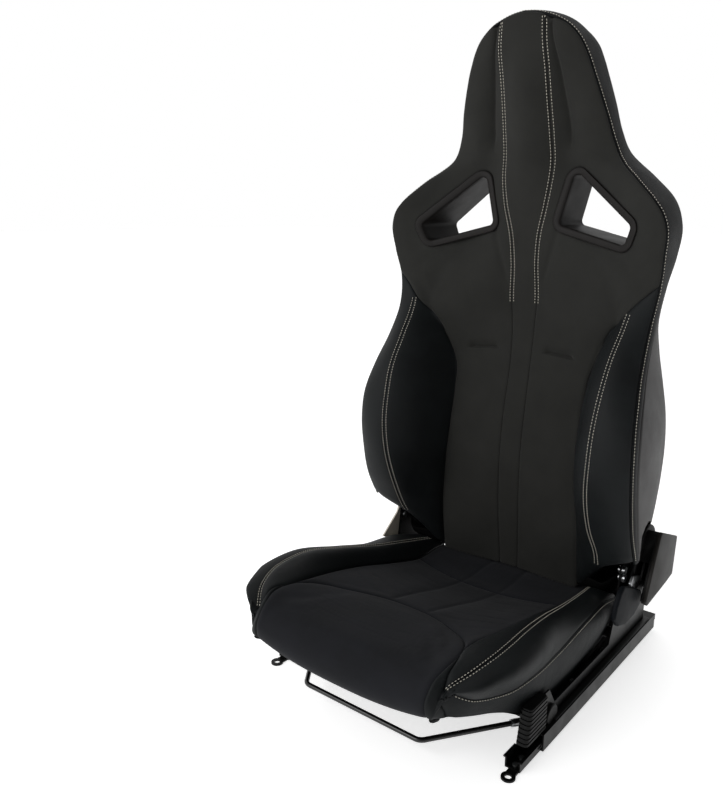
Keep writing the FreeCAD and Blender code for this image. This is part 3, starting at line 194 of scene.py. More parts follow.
def backDepth(x, z):
    x, z = np.abs(np.asarray(x, float)), np.asarray(z, float)
    i = np.clip((z - heights[0]) / backForm["row"], 0, len(heights) - 1.001)
    j = np.clip(x, 0, len(widths) - 1.001)
    i0, j0 = i.astype(int), j.astype(int)
    fi, fj = i - i0, j - j0
    return ((1 - fi) * (1 - fj) * depthGrid[i0, j0] + (1 - fi) * fj * depthGrid[i0, j0 + 1]
            + fi * (1 - fj) * depthGrid[i0 + 1, j0] + fi * fj * depthGrid[i0 + 1, j0 + 1])


def backFront(flatPoints):
    x, z = flatPoints[:, 0], flatPoints[:, 1]
    return np.stack([x, backDepth(x, z), z], axis=1)


def surfaceNormal(surface, flatPoints, d=2.0):
    du = surface(flatPoints + [d, 0]) - surface(flatPoints - [d, 0])
    dv = surface(flatPoints + [0, d]) - surface(flatPoints - [0, d])
    return unit(np.cross(du, dv))


# a sewn panel: flat outline and seams, draped on a form, dipped at its seams and closed behind
# rings of points beside each seam, and how far points stay from the seams, in shares of the ring or step
sewing = {"rings": (0.9, 2.1, 3.8, 6.2), "ringClear": 0.96, "gridClear": 0.4, "rowStep": 0.866,
          "holeStep": 0.7, "heldStep": 4.0}


def sewnPanel(name, surface, outline, step, thickness, seams=(), holes=(), dips=(), extra=None):
    rings = sewing["rings"]
    loops = [evenly(closed(outline), step)[:-1]]
    loops += [evenly(closed(hole), step * sewing["holeStep"])[:-1] for hole in holes]
    closedLines = [closed(loop) for loop in loops]
    lines = [evenly(seam, step) for seam in seams]
    fixed = loops + lines
    points, edges, start = [], [], 0
    for k, line in enumerate(fixed):
        points.append(line)
        count = len(line)
        edges += [(start + i, start + (i + 1) % count) for i in range(count if k < len(loops) else count - 1)]
        start += count

    def clear(candidates, gap):
        keep = insideOf(candidates, loops[0])
        for hole in loops[1:]:
            keep &= ~insideOf(candidates, hole)
        candidates = candidates[keep]
        nearest = np.full(len(candidates), 1e9)
        for line in closedLines + lines:
            nearest = np.minimum(nearest, distanceTo(candidates, line))
        return candidates[nearest > gap]

    for ring in rings:
        found = [sideStep(np.vstack([line[-1:], line, line[:1]]),
                          side * ring)[1:-1] for line in loops for side in (1, -1)]
        found += [sideStep(line, side * ring) for line in lines for side in (1, -1)]
        points.append(clear(np.vstack(found), ring * sewing["ringClear"]))
    low, high = loops[0].min(axis=0), loops[0].max(axis=0)
    gridX, gridZ = np.meshgrid(np.arange(low[0], high[0], step),
                               np.arange(low[1], high[1], step * sewing["rowStep"]))
    gridX[1::2] += step / 2
    points.append(clear(np.stack([gridX.ravel(), gridZ.ravel()], axis=1),
                        rings[-1] + step * sewing["gridClear"]))
    flatPoints = np.vstack(points)
    made = delaunay_2d_cdt([Vector(p) for p in flatPoints.tolist()], edges, [], 0, 1e-5)
    flatPoints = np.array([tuple(p) for p in made[0]])
    faces = np.array([tuple(face) for face in made[2]])
    middle = flatPoints[faces].mean(axis=1)
    keep = insideOf(middle, loops[0])
    for hole in loops[1:]:
        keep &= ~insideOf(middle, hole)
    faces = faces[keep]
    place = surface(flatPoints)
    normal = surfaceNormal(surface, flatPoints)
    sink = np.zeros(len(flatPoints))
    for line, depth, reach in dips:
        away = distanceTo(flatPoints, line)
        t = np.clip(away / reach, 0, 1)
        sink = np.maximum(sink, depth * (1 - np.sqrt(1 - (1 - t)**2)))
    if extra is not None:
        sink = sink + extra(flatPoints)
    place = place - normal * sink[:, None]
    wall = thickness(flatPoints)[:, None] if callable(thickness) else thickness
    rear = place - normal * wall
    a, b, c = (place[faces[:, k]] for k in range(3))
    facing = np.einsum('ij,ij->i', np.cross(b - a, c - a), normal[faces[:, 0]])
    faces[facing < 0] = faces[facing < 0][:, ::-1]
    count = len(place)
    used = {}
    for face in faces.tolist():
        for k in range(3):
            pair = (face[k], face[(k + 1) % 3])
            used[pair] = used.get(pair, 0) + 1
    walls = [(j, i, i + count, j + count) for (i, j) in used if (j, i) not in used]
    allFaces = faces.tolist() + [(f[2] + count, f[1] + count, f[0] + count) for f in faces.tolist()] + walls
    return meshPiece(name, np.vstack([place, rear]), allFaces)


def meshPiece(name, points, faces):
    mesh = bpy.data.meshes.new(name)
    mesh.from_pydata((np.asarray(points) * mm).tolist(), [], [tuple(face) for face in faces])
    piece = bpy.data.objects.new(name, mesh)
    bpy.context.collection.objects.link(piece)
    mesh.polygons.foreach_set("use_smooth", [True] * len(mesh.polygons))
    work = bmesh.new()
    work.from_mesh(mesh)
    bmesh.ops.delete(work, geom=[v for v in work.verts if not v.link_faces], context='VERTS')
    if work.calc_volume(signed=True) < 0:
        bmesh.ops.reverse_faces(work, faces=work.faces)
    work.to_mesh(mesh)
    work.free()
    return piece


def lattice(name, grid, thickness, outward=1):
    rows, columns = grid.shape[:2]
    du = np.gradient(grid, axis=0)
    dv = np.gradient(grid, axis=1)
    normal = unit(np.cross(du, dv)) * outward
    inner = grid - normal * thickness
    points = np.vstack([grid.reshape(-1, 3), inner.reshape(-1, 3)])
    count = rows * columns
    faces = []
    for i in range(rows - 1):
        for j in range(columns - 1):
            a, b = i * columns + j, i * columns + j + 1
            c, d = b + columns, a + columns
            faces.append((a, d, c, b) if outward > 0 else (a, b, c, d))
            faces.append((a + count, b + count, c + count, d + count) if outward > 0
                         else (a + count, d + count, c + count, b + count))
    rim = ([(0, j) for j in range(columns)] + [(i, columns - 1) for i in range(1, rows)]
           + [(rows - 1, j) for j in range(columns - 2, -1, -1)] + [(i, 0) for i in range(rows - 2, 0, -1)])
    index = [i * columns + j for i, j in rim]
    for a, b in zip(index, index[1:] + index[:1]):
        faces.append((a, b, b + count, a + count) if outward > 0 else (b, a, a + count, b + count))
    return meshPiece(name, points, faces)


def mirrored(piece, name):
    mesh = piece.data.copy()
    mesh.name = name
    copy = bpy.data.objects.new(name, mesh)
    bpy.context.collection.objects.link(copy)
    mesh.transform(Matrix.Scale(-1, 4, (1, 0, 0)))
    mesh.flip_normals()
    return copy


# foam pressing out between the seams: cloth under pressure, held at its seams
# what it rises is carried over to the fine mesh, fading out towards the seams
clothForm = {"voxel": 8.0, "pressure": 4.0, "frames": 13, "quality": 5, "cap": 4.0, "hold": 6.0, "fade": 16.0,
             "neighbours": 8, "blur": 1.5}


def pointTree(points):
    tree = KDTree(len(points))
    for k, spot in enumerate(points):
        tree.insert(spot, k)
    tree.balance()
    return tree

# for every point, the other points of each face around it, in the face's order
def facesAround(mesh):
    corners = [[] for _ in mesh.vertices]
    for face in mesh.polygons:
        ring = list(face.vertices)
        for k, point in enumerate(ring):
            corners[point].append(ring[k + 1:] + ring[:k])
    return corners


# the normal at a point, from the faces as they stand now: each one counts by its angle there
def normalAt(point, places, corners):
    total = Vector()
    for others in corners[point]:
        arms = [places[other] - places[point] for other in others]
        face = Vector()
        for first, second in zip(arms, arms[1:]):
            face += first.cross(second)
        total += face.normalized() * arms[0].angle(arms[-1], 0.0)
    return total.normalized()


def plump(piece, surface, lines, cap=clothForm["cap"]):
    bpy.ops.object.select_all(action='DESELECT')
    soft = bpy.data.objects.new("softCopy", piece.data.copy())
    bpy.context.collection.objects.link(soft)
    bpy.context.view_layer.objects.active = soft
    remesh = soft.modifiers.new("voxels", 'REMESH')
    remesh.mode, remesh.voxel_size = 'VOXEL', clothForm["voxel"] * mm
    bpy.ops.object.modifier_apply(modifier=remesh.name)
    before = np.array([v.co[:] for v in soft.data.vertices]) / mm
    seamTree = pointTree([spot for line in lines for spot in surface(line)])
    held = soft.vertex_groups.new(name="seams")
    for k, spot in enumerate(before):
        if seamTree.find(spot)[2] < clothForm["hold"]:
            held.add([k], 1.0, 'REPLACE')
    cloth = soft.modifiers.new("foam", 'CLOTH')
    cloth.settings.quality = clothForm["quality"]
    cloth.settings.vertex_group_mass = held.name
    cloth.settings.pin_stiffness = 1.0
    cloth.settings.use_pressure = True
    cloth.settings.uniform_pressure_force = clothForm["pressure"]
    cloth.settings.effector_weights.gravity = 0
    cloth.collision_settings.use_collision = False
    cloth.point_cache.frame_end = clothForm["frames"]
    for frameNumber in range(1, clothForm["frames"] + 1):
        bpy.context.scene.frame_set(frameNumber)
    solved = soft.evaluated_get(bpy.context.evaluated_depsgraph_get()).to_mesh()
    after = np.array([v.co[:] for v in solved.vertices]) / mm
    bpy.context.scene.frame_set(1)
    bpy.data.objects.remove(soft)
    moved = after - before
    moved *= np.minimum(1, cap / (np.linalg.norm(moved, axis=1, keepdims=True) + 1e-9))
    spots = pointTree(before)
    places = [v.co.copy() for v in piece.data.vertices]
    corners = facesAround(piece.data)
    for k, start in enumerate(places):
        place = np.array(start[:]) / mm
        near = spots.find_n(place, clothForm["neighbours"])
        weight = np.array([1 / (found[2] + clothForm["blur"]) for found in near])
        shift = (moved[[found[1] for found in near]] * weight[:, None]).sum(axis=0) / weight.sum()
        calm = smoothStep(0, clothForm["fade"], seamTree.find(place)[2])
        out = np.array(normalAt(k, places, corners)[:])
        places[k] = Vector(place + out * (shift @ out) * calm) * mm
    piece.data.vertices.foreach_set("co", [c for place in places for c in place])
    piece.data.update()


def rim(loop):
    return evenly(closed(loop), sewing["heldStep"])


# a padded piece: the sewn panel, then the press of its foam; its outline and the lines in held stay in place
def softPiece(name, surface, outline, form, held=(), cap=clothForm["cap"], **sewn):
    piece = sewnPanel(name, surface, outline, form["step"], form["thickness"], **sewn)
    plump(piece, surface, [rim(outline)] + list(held), cap)
    return piece


# seams of the back rest, as width and height
backSeams = {
    "strip": [(18, 60), (19, 130), (20.5, 198), (21, 280), (21, 358), (21, 414), (20, 487), (21, 560),
              (24.5, 620), (23, 686),
              (26.5, 729), (38, 781), (45, 831), (44, 888), (42, 951), (41, 1012), (39.5, 1050),
              (38.5, 1071)],
    "insert": [(142, 60), (141, 130), (140, 211), (135, 296), (130, 378), (129, 446), (132, 489),
               (142, 521.5), (163, 565),
               (199.5, 610), (239, 649), (249, 657)],
    "outer": [(262, 96), (263, 160), (265, 214), (266, 270), (265.5, 326), (264.7, 378), (262, 430),
              (256, 476), (246, 538),
              (242.6, 597), (247.6, 650), (254, 700), (256, 745), (248, 770), (234, 787), (216, 804),
              (196, 822), (172, 841),
              (156, 858), (145, 880), (138, 902), (131, 928), (123, 956), (114.5, 983), (106, 1008),
              (95, 1030), (78, 1050),
              (62, 1061), (44, 1069), (22, 1076), (0, 1079)],
    "crest": [(195, 100), (196, 177), (201, 214), (198, 266), (198, 332), (200, 391), (200.5, 438),
              (202, 492), (202, 544.5),
              (205, 588), (208, 620)],
    "groove": [(47, 1074), (50, 1050), (53, 1028), (59, 990), (64, 954), (70, 910), (72, 885), (72, 862)],
    "lowEdge": [(0, 107), (90, 107), (140, 110), (152, 119), (172, 145), (200, 177), (235, 199), (266, 213)],
}
seamLine = {name: curveThrough(points, 2.0) for name, points in backSeams.items()}


def part(line, low, high):
    return line[(line[:, 1] >= low) & (line[:, 1] <= high)]


# a dip is a line, its depth and how far it reaches to each side; neighbouring panels overlap by a hair
stripTop, lowZ, overlap = 1070.4, 107.0, np.array([0.1, 0])
outerFromTop = seamLine["outer"][::-1]
stripUp = part(seamLine["strip"], lowZ, stripTop)
stripDips = [(seamLine["strip"], 2.6, 6.0), (flipped(seamLine["strip"]), 2.6, 6.0)]
insertDip, outerDip = (seamLine["insert"], 3.2, 7.0), (seamLine["outer"], 2.4, 6.0)
wholeOuter = np.vstack([seamLine["outer"], flipped(outerFromTop)[1:]])

# harness opening: its corners, the same as the solid part's
slotForm = {"corners": [(63, 748), (186, 716.5), (198, 747), (85, 835)], "round": 9.0, "rim": 12.5}


def roundedLoop(corners, radius, grow, count=10):
    corners = np.array(corners, float)
    total = len(corners)
    moved = []
    for i in range(total):
        a, b, c = corners[i - 1], corners[i], corners[(i + 1) % total]
        n1 = unit(np.array([(b - a)[1], -(b - a)[0]]))
        n2 = unit(np.array([(c - b)[1], -(c - b)[0]]))
        moved.append(b + (n1 + n2) / (1 + n1 @ n2) * grow)
    moved = np.array(moved)
    loop = []
    radius = max(radius + grow, 0.5)
    for i in range(total):
        a, b, c = moved[i - 1], moved[i], moved[(i + 1) % total]
        d1, d2 = unit(a - b), unit(c - b)
        half = math.acos(np.clip(d1 @ d2, -1, 1)) / 2
        cut = radius / math.tan(half)
        centre = b + unit(d1 + d2) * radius / math.sin(half)
        p, q = b + d1 * cut - centre, b + d2 * cut - centre
        start, sweep = math.atan2(p[1], p[0]), math.atan2(q[1], q[0])
        turn = (sweep - start + math.pi) % (2 * math.pi) - math.pi
        loop += [centre + radius * np.array([math.cos(start + turn * k / count),
                                             math.sin(start + turn * k / count)])
                 for k in range(count + 1)]
    return np.array(loop)


# centre strip from the hips to the top of the head rest
stripForm = {"step": 4.0, "thickness": 16.0, "cap": 2.0}
rightEdge = stripUp + overlap
topArc = np.array([(x, z) for x, z in seamLine["outer"] if z > stripTop + 0.5])
stripOutline = np.vstack([rightEdge, topArc, flipped(topArc)[::-1][1:], flipped(rightEdge)[::-1]])
centreStrip = softPiece("centreStrip", backFront, stripOutline, stripForm, cap=stripForm["cap"],
                        dips=stripDips + [(wholeOuter, *outerDip[1:])])
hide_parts("back_center_strip", "head_pad")
print("centre strip")

# side panels: from the strip to the outer seam, with the harness opening and the lumbar tuck
panelForm = {"step": 4.0, "thickness": 16.0, "cap": 3.5, "tuckDepth": 8.0, "tuckAbove": 8.0, "tuckBelow": 1.6,
             "tuckX": (42, 54, 96, 108), "grooveDepth": 5.0, "grooveReach": 4.0, "grooveWide": 3.4,
             "grooveWideReach": 13.0,
             "grooveFade": (862, 900), "lowGrooveDepth": 3.0, "lowGrooveReach": 5.0,
             "lowGrooveFade": (636, 665)}
lowGroove = np.array([(61, 743), (54, 714), (44, 680), (31, 636)], float)
tuckLine = np.array([(46, 527), (62, 526.5), (78, 525), (92, 524), (104, 522)], float)


def panelShape(flatPoints):
    form = panelForm
    x, z = np.abs(flatPoints[:, 0]), flatPoints[:, 1]
    above = z - np.interp(x, tuckLine[:, 0], tuckLine[:, 1])
    ends = smoothStep(*form["tuckX"][:2], x) * (1 - smoothStep(*form["tuckX"][2:], x))
    fold = np.where(above > 0, np.exp(-(np.maximum(above, 0) / form["tuckAbove"])**1.5),
                    np.exp(-(above / form["tuckBelow"])**2))
    tuck = form["tuckDepth"] * fold * ends
    halfPoints = np.stack([x, z], axis=1)
    off = distanceTo(halfPoints, seamLine["groove"])
    wideGroove = form["grooveWide"] * np.exp(-(off / form["grooveWideReach"])**2)
    groove = form["grooveDepth"] * np.exp(-(off / form["grooveReach"])**1.3) + wideGroove
    groove = groove * smoothStep(*form["grooveFade"], z)
    below = np.exp(-(distanceTo(halfPoints, lowGroove) / form["lowGrooveReach"])**1.5)
    dent = form["lowGrooveDepth"] * below * smoothStep(*form["lowGrooveFade"], z)
    return tuck + groove + dent


outerDown = np.array([p for p in outerFromTop if 657.5 < p[1] < stripTop])
insertDown = part(seamLine["insert"], lowZ, 656)[::-1]
panelOutline = np.vstack([stripUp - overlap, outerDown, insertDown + overlap, [(90, lowZ)]])
slotHole = roundedLoop(slotForm["corners"], slotForm["round"], slotForm["rim"] - 1.5)
tucks = [evenly(line, sewing["heldStep"]) for line in (tuckLine, seamLine["groove"], lowGroove)]
sidePanelLeft = softPiece("sidePanelLeft", backFront, panelOutline, panelForm, [rim(slotHole)] + tucks,
                          panelForm["cap"],
                          holes=[slotHole], seams=[tuckLine, part(seamLine["groove"], 872, 1058)],
                          dips=stripDips[:1] + [insertDip, outerDip, (closed(slotHole), 3.0, 5.0)],
                          extra=panelShape)
sidePanelRight = mirrored(sidePanelLeft, "sidePanelRight")
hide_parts("back_panel_left", "head_wing_left")
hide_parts("back_panel_right", "head_wing_right")
print("side panels")

# bolsters of the back with the crest seam
bolsterForm = {"step": 3.6, "thickness": 16.0}
insertUp = part(seamLine["insert"], 112, 656)
outerDownLow = np.array([p for p in outerFromTop if 213.5 < p[1] < 657.5])
lowEdge = np.array([p for p in seamLine["lowEdge"][::-1] if 142 < p[0] < 264.5])
bolsterOutline = np.vstack([insertUp - overlap, outerDownLow, lowEdge])
crestIn = part(seamLine["crest"], 185, 612)
bolsterDips = [insertDip, outerDip, (seamLine["crest"], 1.5, 5.0), (seamLine["lowEdge"], 12.0, 22.0)]
backBolsterLeft = softPiece("backBolsterLeft", backFront, bolsterOutline, bolsterForm, [crestIn],
                            seams=[crestIn],
                            dips=bolsterDips)
backBolsterRight = mirrored(backBolsterLeft, "backBolsterRight")
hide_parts("back_bolster_left")
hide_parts("back_bolster_right")
print("back bolsters")

# side band and shell: shell edge, rear corner and rear centre line by height of the outer seam
# height of the seam; edge y, z; corner x, y, z; rear y, z; bulge of the band; bulge of the shell's side
shellTable = np.array([
    (212, 127, 213, 229, 254, 190, 297, 168, 1.5, 6), (236, 115, 237, 232, 265, 226, 310, 214, 1.5, 7),
    (270, 102, 270, 236, 278, 268, 318, 262, 1.5, 7), (330, 86, 330, 242, 276, 330, 322, 330, 1.5, 5),
    (390, 80, 390, 247, 262, 390, 318, 390, 1.5, 5), (440, 88, 440, 247, 250, 440, 308, 440, 1.5, 5),
    (490, 112, 490, 240, 244, 490, 298, 490, 1.5, 3), (545, 148, 545, 234, 230, 545, 284, 545, 1.5, 2),
    (597, 184, 597, 231, 222, 597, 274, 597, 1.5, 1.5), (650, 218, 650, 234, 232, 650, 268, 650, 1.5, 1),
    (700, 236, 700, 242, 246, 700, 270, 700, 1.5, 0.5), (750, 246, 750, 243, 254, 750, 274, 750, 2, 0.5),
    (787, 256, 789, 225, 264, 787, 276, 787, 3, 1), (822, 264, 824, 188, 270, 822, 278, 822, 4, 1),
    (858, 258, 861, 148, 264, 858, 274, 858, 2, 1), (895, 250, 897, 132, 256, 895, 268, 895, 2, 1),
    (940, 244, 942, 120, 250, 940, 262, 940, 2, 1), (983, 240, 985, 106, 247, 983, 257, 981, 1, 1),
    (1008, 238, 1011, 97, 245, 1008, 255, 1004, 1, 1), (1030, 238, 1034, 86, 244, 1030, 254, 1022, 1, 1),
    (1050, 238, 1054, 68, 244, 1050, 253, 1038, 3, 1), (1061, 238, 1065, 54, 244, 1060, 252, 1050, 5, 1),
    (1069, 238, 1072, 39, 244, 1068, 250, 1061, 5.5, 1), (1076, 238, 1077, 20, 243, 1074, 247, 1070, 5, 1),
    (1079, 238, 1079, 0.5, 240, 1077.5, 241, 1077, 4, 1)], float)
outerTight = np.array([p for p in evenly(seamLine["outer"], 4.5) if p[1] > 212.0])
outerDepth = backDepth(outerTight[:, 0], outerTight[:, 1])
sinkIn = surfaceNormal(backFront, outerTight) * outerDip[1]
seam3 = np.stack([outerTight[:, 0], outerDepth, outerTight[:, 1]], axis=1) - sinkIn
rowsOut = splineAt(shellTable[:, 0], shellTable[:, 1:], outerTight[:, 1])
cornerX = np.minimum(rowsOut[:, 2], outerTight[:, 0] + 2)
bandForm = {"columns": 22, "thickness": 5.0, "lift": 2.4, "liftShare": 0.1, "edgeShare": (0.05, 0.97),
            "edgeCurve": 1.6}
share = np.clip((rowsOut[:, 0] - outerDepth) / (rowsOut[:, 3] - outerDepth), *bandForm["edgeShare"])
edgeX = outerTight[:, 0] + share**bandForm["edgeCurve"] * (cornerX - outerTight[:, 0])
edge3 = np.stack([edgeX, rowsOut[:, 0], rowsOut[:, 1]], axis=1)
corner3 = np.stack([cornerX, rowsOut[:, 3], rowsOut[:, 4]], axis=1)
rear3 = np.stack([np.zeros(len(cornerX)), rowsOut[:, 5], rowsOut[:, 6]], axis=1)
bandBulge, shellBulge = rowsOut[:, 7], rowsOut[:, 8]

along = unit(np.gradient(seam3, axis=0))
outwardDir = unit(np.cross(along, edge3 - seam3))
# points away from the middle of the back at the height where the band turns over
awayX, awayZ = outerTight[:, 0] + 1, (outerTight[:, 1] - 900) * 0.8
away = np.stack([awayX, outerTight[:, 0] * 0, awayZ], axis=1)
outwardDir *= np.sign(np.einsum('ij,ij->i', outwardDir, away))[:, None]
across = np.concatenate([[0, 0.012, 0.03, 0.055], np.linspace(0.09, 1.0, bandForm["columns"])])
bandGrid = (seam3[:, None] + across[None, :, None] * (edge3 - seam3)[:, None]
            + (bandBulge[:, None] * 4 * across * (1 - across))[:, :, None] * outwardDir[:, None])
lift = bandForm["lift"] * np.sqrt(np.clip(1 - (1 - np.clip(across / bandForm["liftShare"], 0, 1))**2, 0, 1))
bandGrid = bandGrid + (lift[None, :, None] * outwardDir[:, None])
wholeBand = np.vstack([bandGrid * [-1, 1, 1], bandGrid[::-1][1:]])
sideBand = lattice("sideBand", wholeBand, bandForm["thickness"])
print("side band")

# hard shell behind, with a rolled edge beside the band
shellForm = {"sideColumns": 14, "rearColumns": 30, "wall": 3.0, "edgeStep": 2.2, "turn": 0.92,
             "slotGrow": 3.0, "slotCut": (205, 330), "hubCut": (227, 292)}
t = np.linspace(0, 1, shellForm["sideColumns"])
edgeOut = edge3 + outwardDir * (lift[-1] + shellForm["edgeStep"] - bandForm["lift"])
side = (edgeOut[:, None] + t[None, :, None] * (corner3 - edgeOut)[:, None]
        + (shellBulge[:, None] * 4 * t * (1 - t))[:, :, None] * outwardDir[:, None])
turn = (np.sin(np.linspace(math.pi / 2, 0, shellForm["rearColumns"]) * shellForm["turn"])
        / math.sin(math.pi / 2 * shellForm["turn"]))
rise = np.maximum(rear3[:, 1] - corner3[:, 1], 1.0)
arcRadius = (cornerX**2 + rise**2) / (2 * rise)
arcX = cornerX[:, None] * turn[None, :]
arcY = rear3[:, 1:2] - arcRadius[:, None] + np.sqrt(np.maximum(arcRadius[:, None]**2 - arcX**2, 0))
arcZ = rear3[:, 2:3] + (corner3[:, 2:3] - rear3[:, 2:3]) * turn[None, :]**2
rearPart = np.stack([arcX, arcY, arcZ], axis=2)
shellGrid = np.concatenate([side, rearPart[:, 1:]], axis=1)
wholeShell = np.concatenate([shellGrid, (shellGrid * [-1, 1, 1])[:, ::-1][:, 1:]], axis=1)
backShell = lattice("backShell", wholeShell, shellForm["wall"], outward=-1)
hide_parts("back_shell")


# turns every face of a closed piece outward; rims it was left with are filled and doubled points joined first
def facesOutward(piece, fill=False, weld=0.0):
    bpy.ops.object.select_all(action='DESELECT')
    bpy.context.view_layer.objects.active = piece
    piece.select_set(True)
    bpy.ops.object.mode_set(mode='EDIT')
    bpy.ops.mesh.select_mode(type='VERT')
    if fill:
        bpy.ops.mesh.select_all(action='DESELECT')
        bpy.ops.mesh.select_non_manifold()
        bpy.ops.mesh.fill_holes(sides=0)
    bpy.ops.mesh.select_all(action='SELECT')
    if weld:
        bpy.ops.mesh.remove_doubles(threshold=weld)
    bpy.ops.mesh.normals_make_consistent(inside=False)
    bpy.ops.object.mode_set(mode='OBJECT')
    piece.select_set(False)


def smoothByAngle(piece, degrees):
    bpy.context.view_layer.objects.active = piece
    piece.select_set(True)
    bpy.ops.object.shade_smooth_by_angle(angle=math.radians(degrees))
    piece.select_set(False)


def subtract(piece, cutter):
    facesOutward(cutter)
    bpy.context.view_layer.objects.active = piece
    change = piece.modifiers.new("opening", 'BOOLEAN')
    change.operation, change.solver, change.object = 'DIFFERENCE', 'EXACT', cutter
    bpy.ops.object.modifier_apply(modifier=change.name)
    bpy.data.objects.remove(cutter)


# cuts a piece with a prism, its outline given once at each end
def cutWith(piece, name, ends):
    count = len(ends[0])
    faces = [tuple(range(count)), tuple(range(2 * count - 1, count - 1, -1))]
    faces += [(i, i + count, (i + 1) % count + count, (i + 1) % count) for i in range(count)]
    subtract(piece, meshPiece(name, [point for end in ends for point in end], faces))


# closing cloth under the foam, round the recline axis and up inside the shell's lower edge
closingForm = {"axis": (225.0, 205.0), "radius": 99.5, "half": 224.0, "columns": 57, "thickness": 2.5,
               "arc": (36, 96, 22), "rearEnd": (282, 166), "curlX": (198, 225), "curl": 0.3, "behindFoam": 9,
               "narrowing": 0.08}
underArc = np.radians(np.linspace(*closingForm["arc"]))
underY = closingForm["axis"][0] - closingForm["radius"] * np.cos(underArc)
underZ = closingForm["axis"][1] - closingForm["radius"] * np.sin(underArc)
rearRun = np.linspace(0, 1, 9)[1:]
rearY, rearZ = closingForm["rearEnd"]
underLine = np.vstack([np.stack([underY, underZ], axis=1),
                       np.stack([underY[-1] + rearRun * (rearY - underY[-1]),
                                 underZ[-1] + rearRun**1.5 * (rearZ - underZ[-1])],
                                axis=1)])
acrossX = np.linspace(-closingForm["half"], closingForm["half"], closingForm["columns"])
curl = smoothStep(*closingForm["curlX"], np.abs(acrossX)) * closingForm["curl"]
centre = np.array(closingForm["axis"])
closingGrid = np.array([[(x, *(row + (centre - row) * c)) for x,
                         c in zip(acrossX, curl)] for row in underLine])
behind = backDepth(closingGrid[:, :, 0], np.maximum(closingGrid[:, :, 2], lowZ)) + closingForm["behindFoam"]
closingGrid[:, :, 1] = np.maximum(closingGrid[:, :, 1], behind)
closingGrid[-len(rearRun):, :, 0] *= (1 - closingForm["narrowing"] * rearRun)[:, None]
closingCloth = lattice("closingCloth", closingGrid, closingForm["thickness"], outward=-1)

# the shell stops short of the hinge on both sides
hubOutline = [(131, 150), (131, 256), (150, 267), (170, 269), (192, 262), (212, 252), (228, 247), (241, 245),
              (241, 150)]
for sign in (1, -1):
    cutWith(backShell, "hubCutter", [[(sign * x, y, z) for y, z in hubOutline] for x in shellForm["hubCut"]])
shellHole = roundedLoop(slotForm["corners"], slotForm["round"], shellForm["slotGrow"])
for sign in (1, -1):
    cutWith(backShell, "cutter", [[(sign * x, y, z) for x, z in shellHole] for y in shellForm["slotCut"]])
print("back shell")

# moulded frames of the harness openings, drawn ring by ring from the panel to the rear of the tunnel
bezelForm = {"rings": [(12.8, -3.0), (12.6, 1.6), (11.6, 3.0), (9.5, 3.6), (4.5, 3.6), (2.0, 3.0), (0.6, 1.6),
                       (0.0, -0.5)], "wall": 2.6, "tunnel": (9.0, 11.0), "rear": 272.0, "outside": 12,
             "back": (11.0, 6), "cornerSteps": 8, "smooth": 42}


def extrudeRings(name, rings):
    count = len(rings[0])
    bpy.ops.object.select_all(action='DESELECT')
    bpy.ops.mesh.primitive_circle_add(vertices=count, radius=1, fill_type='NOTHING')
    piece = bpy.context.object
    piece.name = name
    piece.data.name = name
    current = list(range(count))
    for i, place in zip(current, rings[0]):
        piece.data.vertices[i].co = Vector(place) * mm
    for ring in rings[1:]:
        bpy.ops.object.mode_set(mode='OBJECT')
        keys = {tuple(round(c, 7) for c in piece.data.vertices[v].co): n for n, v in enumerate(current)}
        for v in piece.data.vertices:
            v.select = False
        for edge in piece.data.edges:
            edge.select = edge.vertices[0] in current and edge.vertices[1] in current and abs(
                current.index(edge.vertices[0]) - current.index(edge.vertices[1])) in (1, count - 1)
        for v in current:
            piece.data.vertices[v].select = True
        bpy.ops.object.mode_set(mode='EDIT')
        bpy.ops.mesh.select_mode(type='EDGE')
        bpy.ops.mesh.extrude_edges_move(TRANSFORM_OT_translate={"value": (0, 0, 0)})
        bpy.ops.object.mode_set(mode='OBJECT')
        fresh = [None] * count
        old = set(current)
        for v in piece.data.vertices:
            if v.select and v.index not in old:
                fresh[keys[tuple(round(c, 7) for c in v.co)]] = v.index
        current = fresh
        for i, place in zip(current, ring):
            piece.data.vertices[i].co = Vector(place) * mm
    facesOutward(piece, weld=1e-6)
    return piece


def bezelRing(grow, offset, onFront=True):
    loop = roundedLoop(slotForm["corners"], slotForm["round"], grow, bezelForm["cornerSteps"])
    front = backDepth(loop[:, 0], loop[:, 1]) if onFront else 0 * loop[:, 0]
    return np.stack([loop[:, 0], front + offset, loop[:, 1]], axis=1)


rear, wall = bezelForm["rear"], bezelForm["wall"]
bezelRings = [bezelRing(grow, -proud) for grow, proud in bezelForm["rings"]]
bezelRings += [bezelRing(0.0, depth) for depth in bezelForm["tunnel"]]
bezelRings += [bezelRing(grow, depth, False) for grow, depth in ((0.0, rear - 1), (0.0, rear), (wall, rear))]
bezelRings += [bezelRing(wall, bezelForm["outside"]), bezelRing(*bezelForm["back"]), bezelRings[0]]
bezelLeft = extrudeRings("bezelLeft", bezelRings)
bezelRight = mirrored(bezelLeft, "bezelRight")
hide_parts("harness_bezel_left")
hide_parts("harness_bezel_right")
for piece in (bezelLeft, bezelRight):
    smoothByAngle(piece, bezelForm["smooth"])
print("harness bezels")

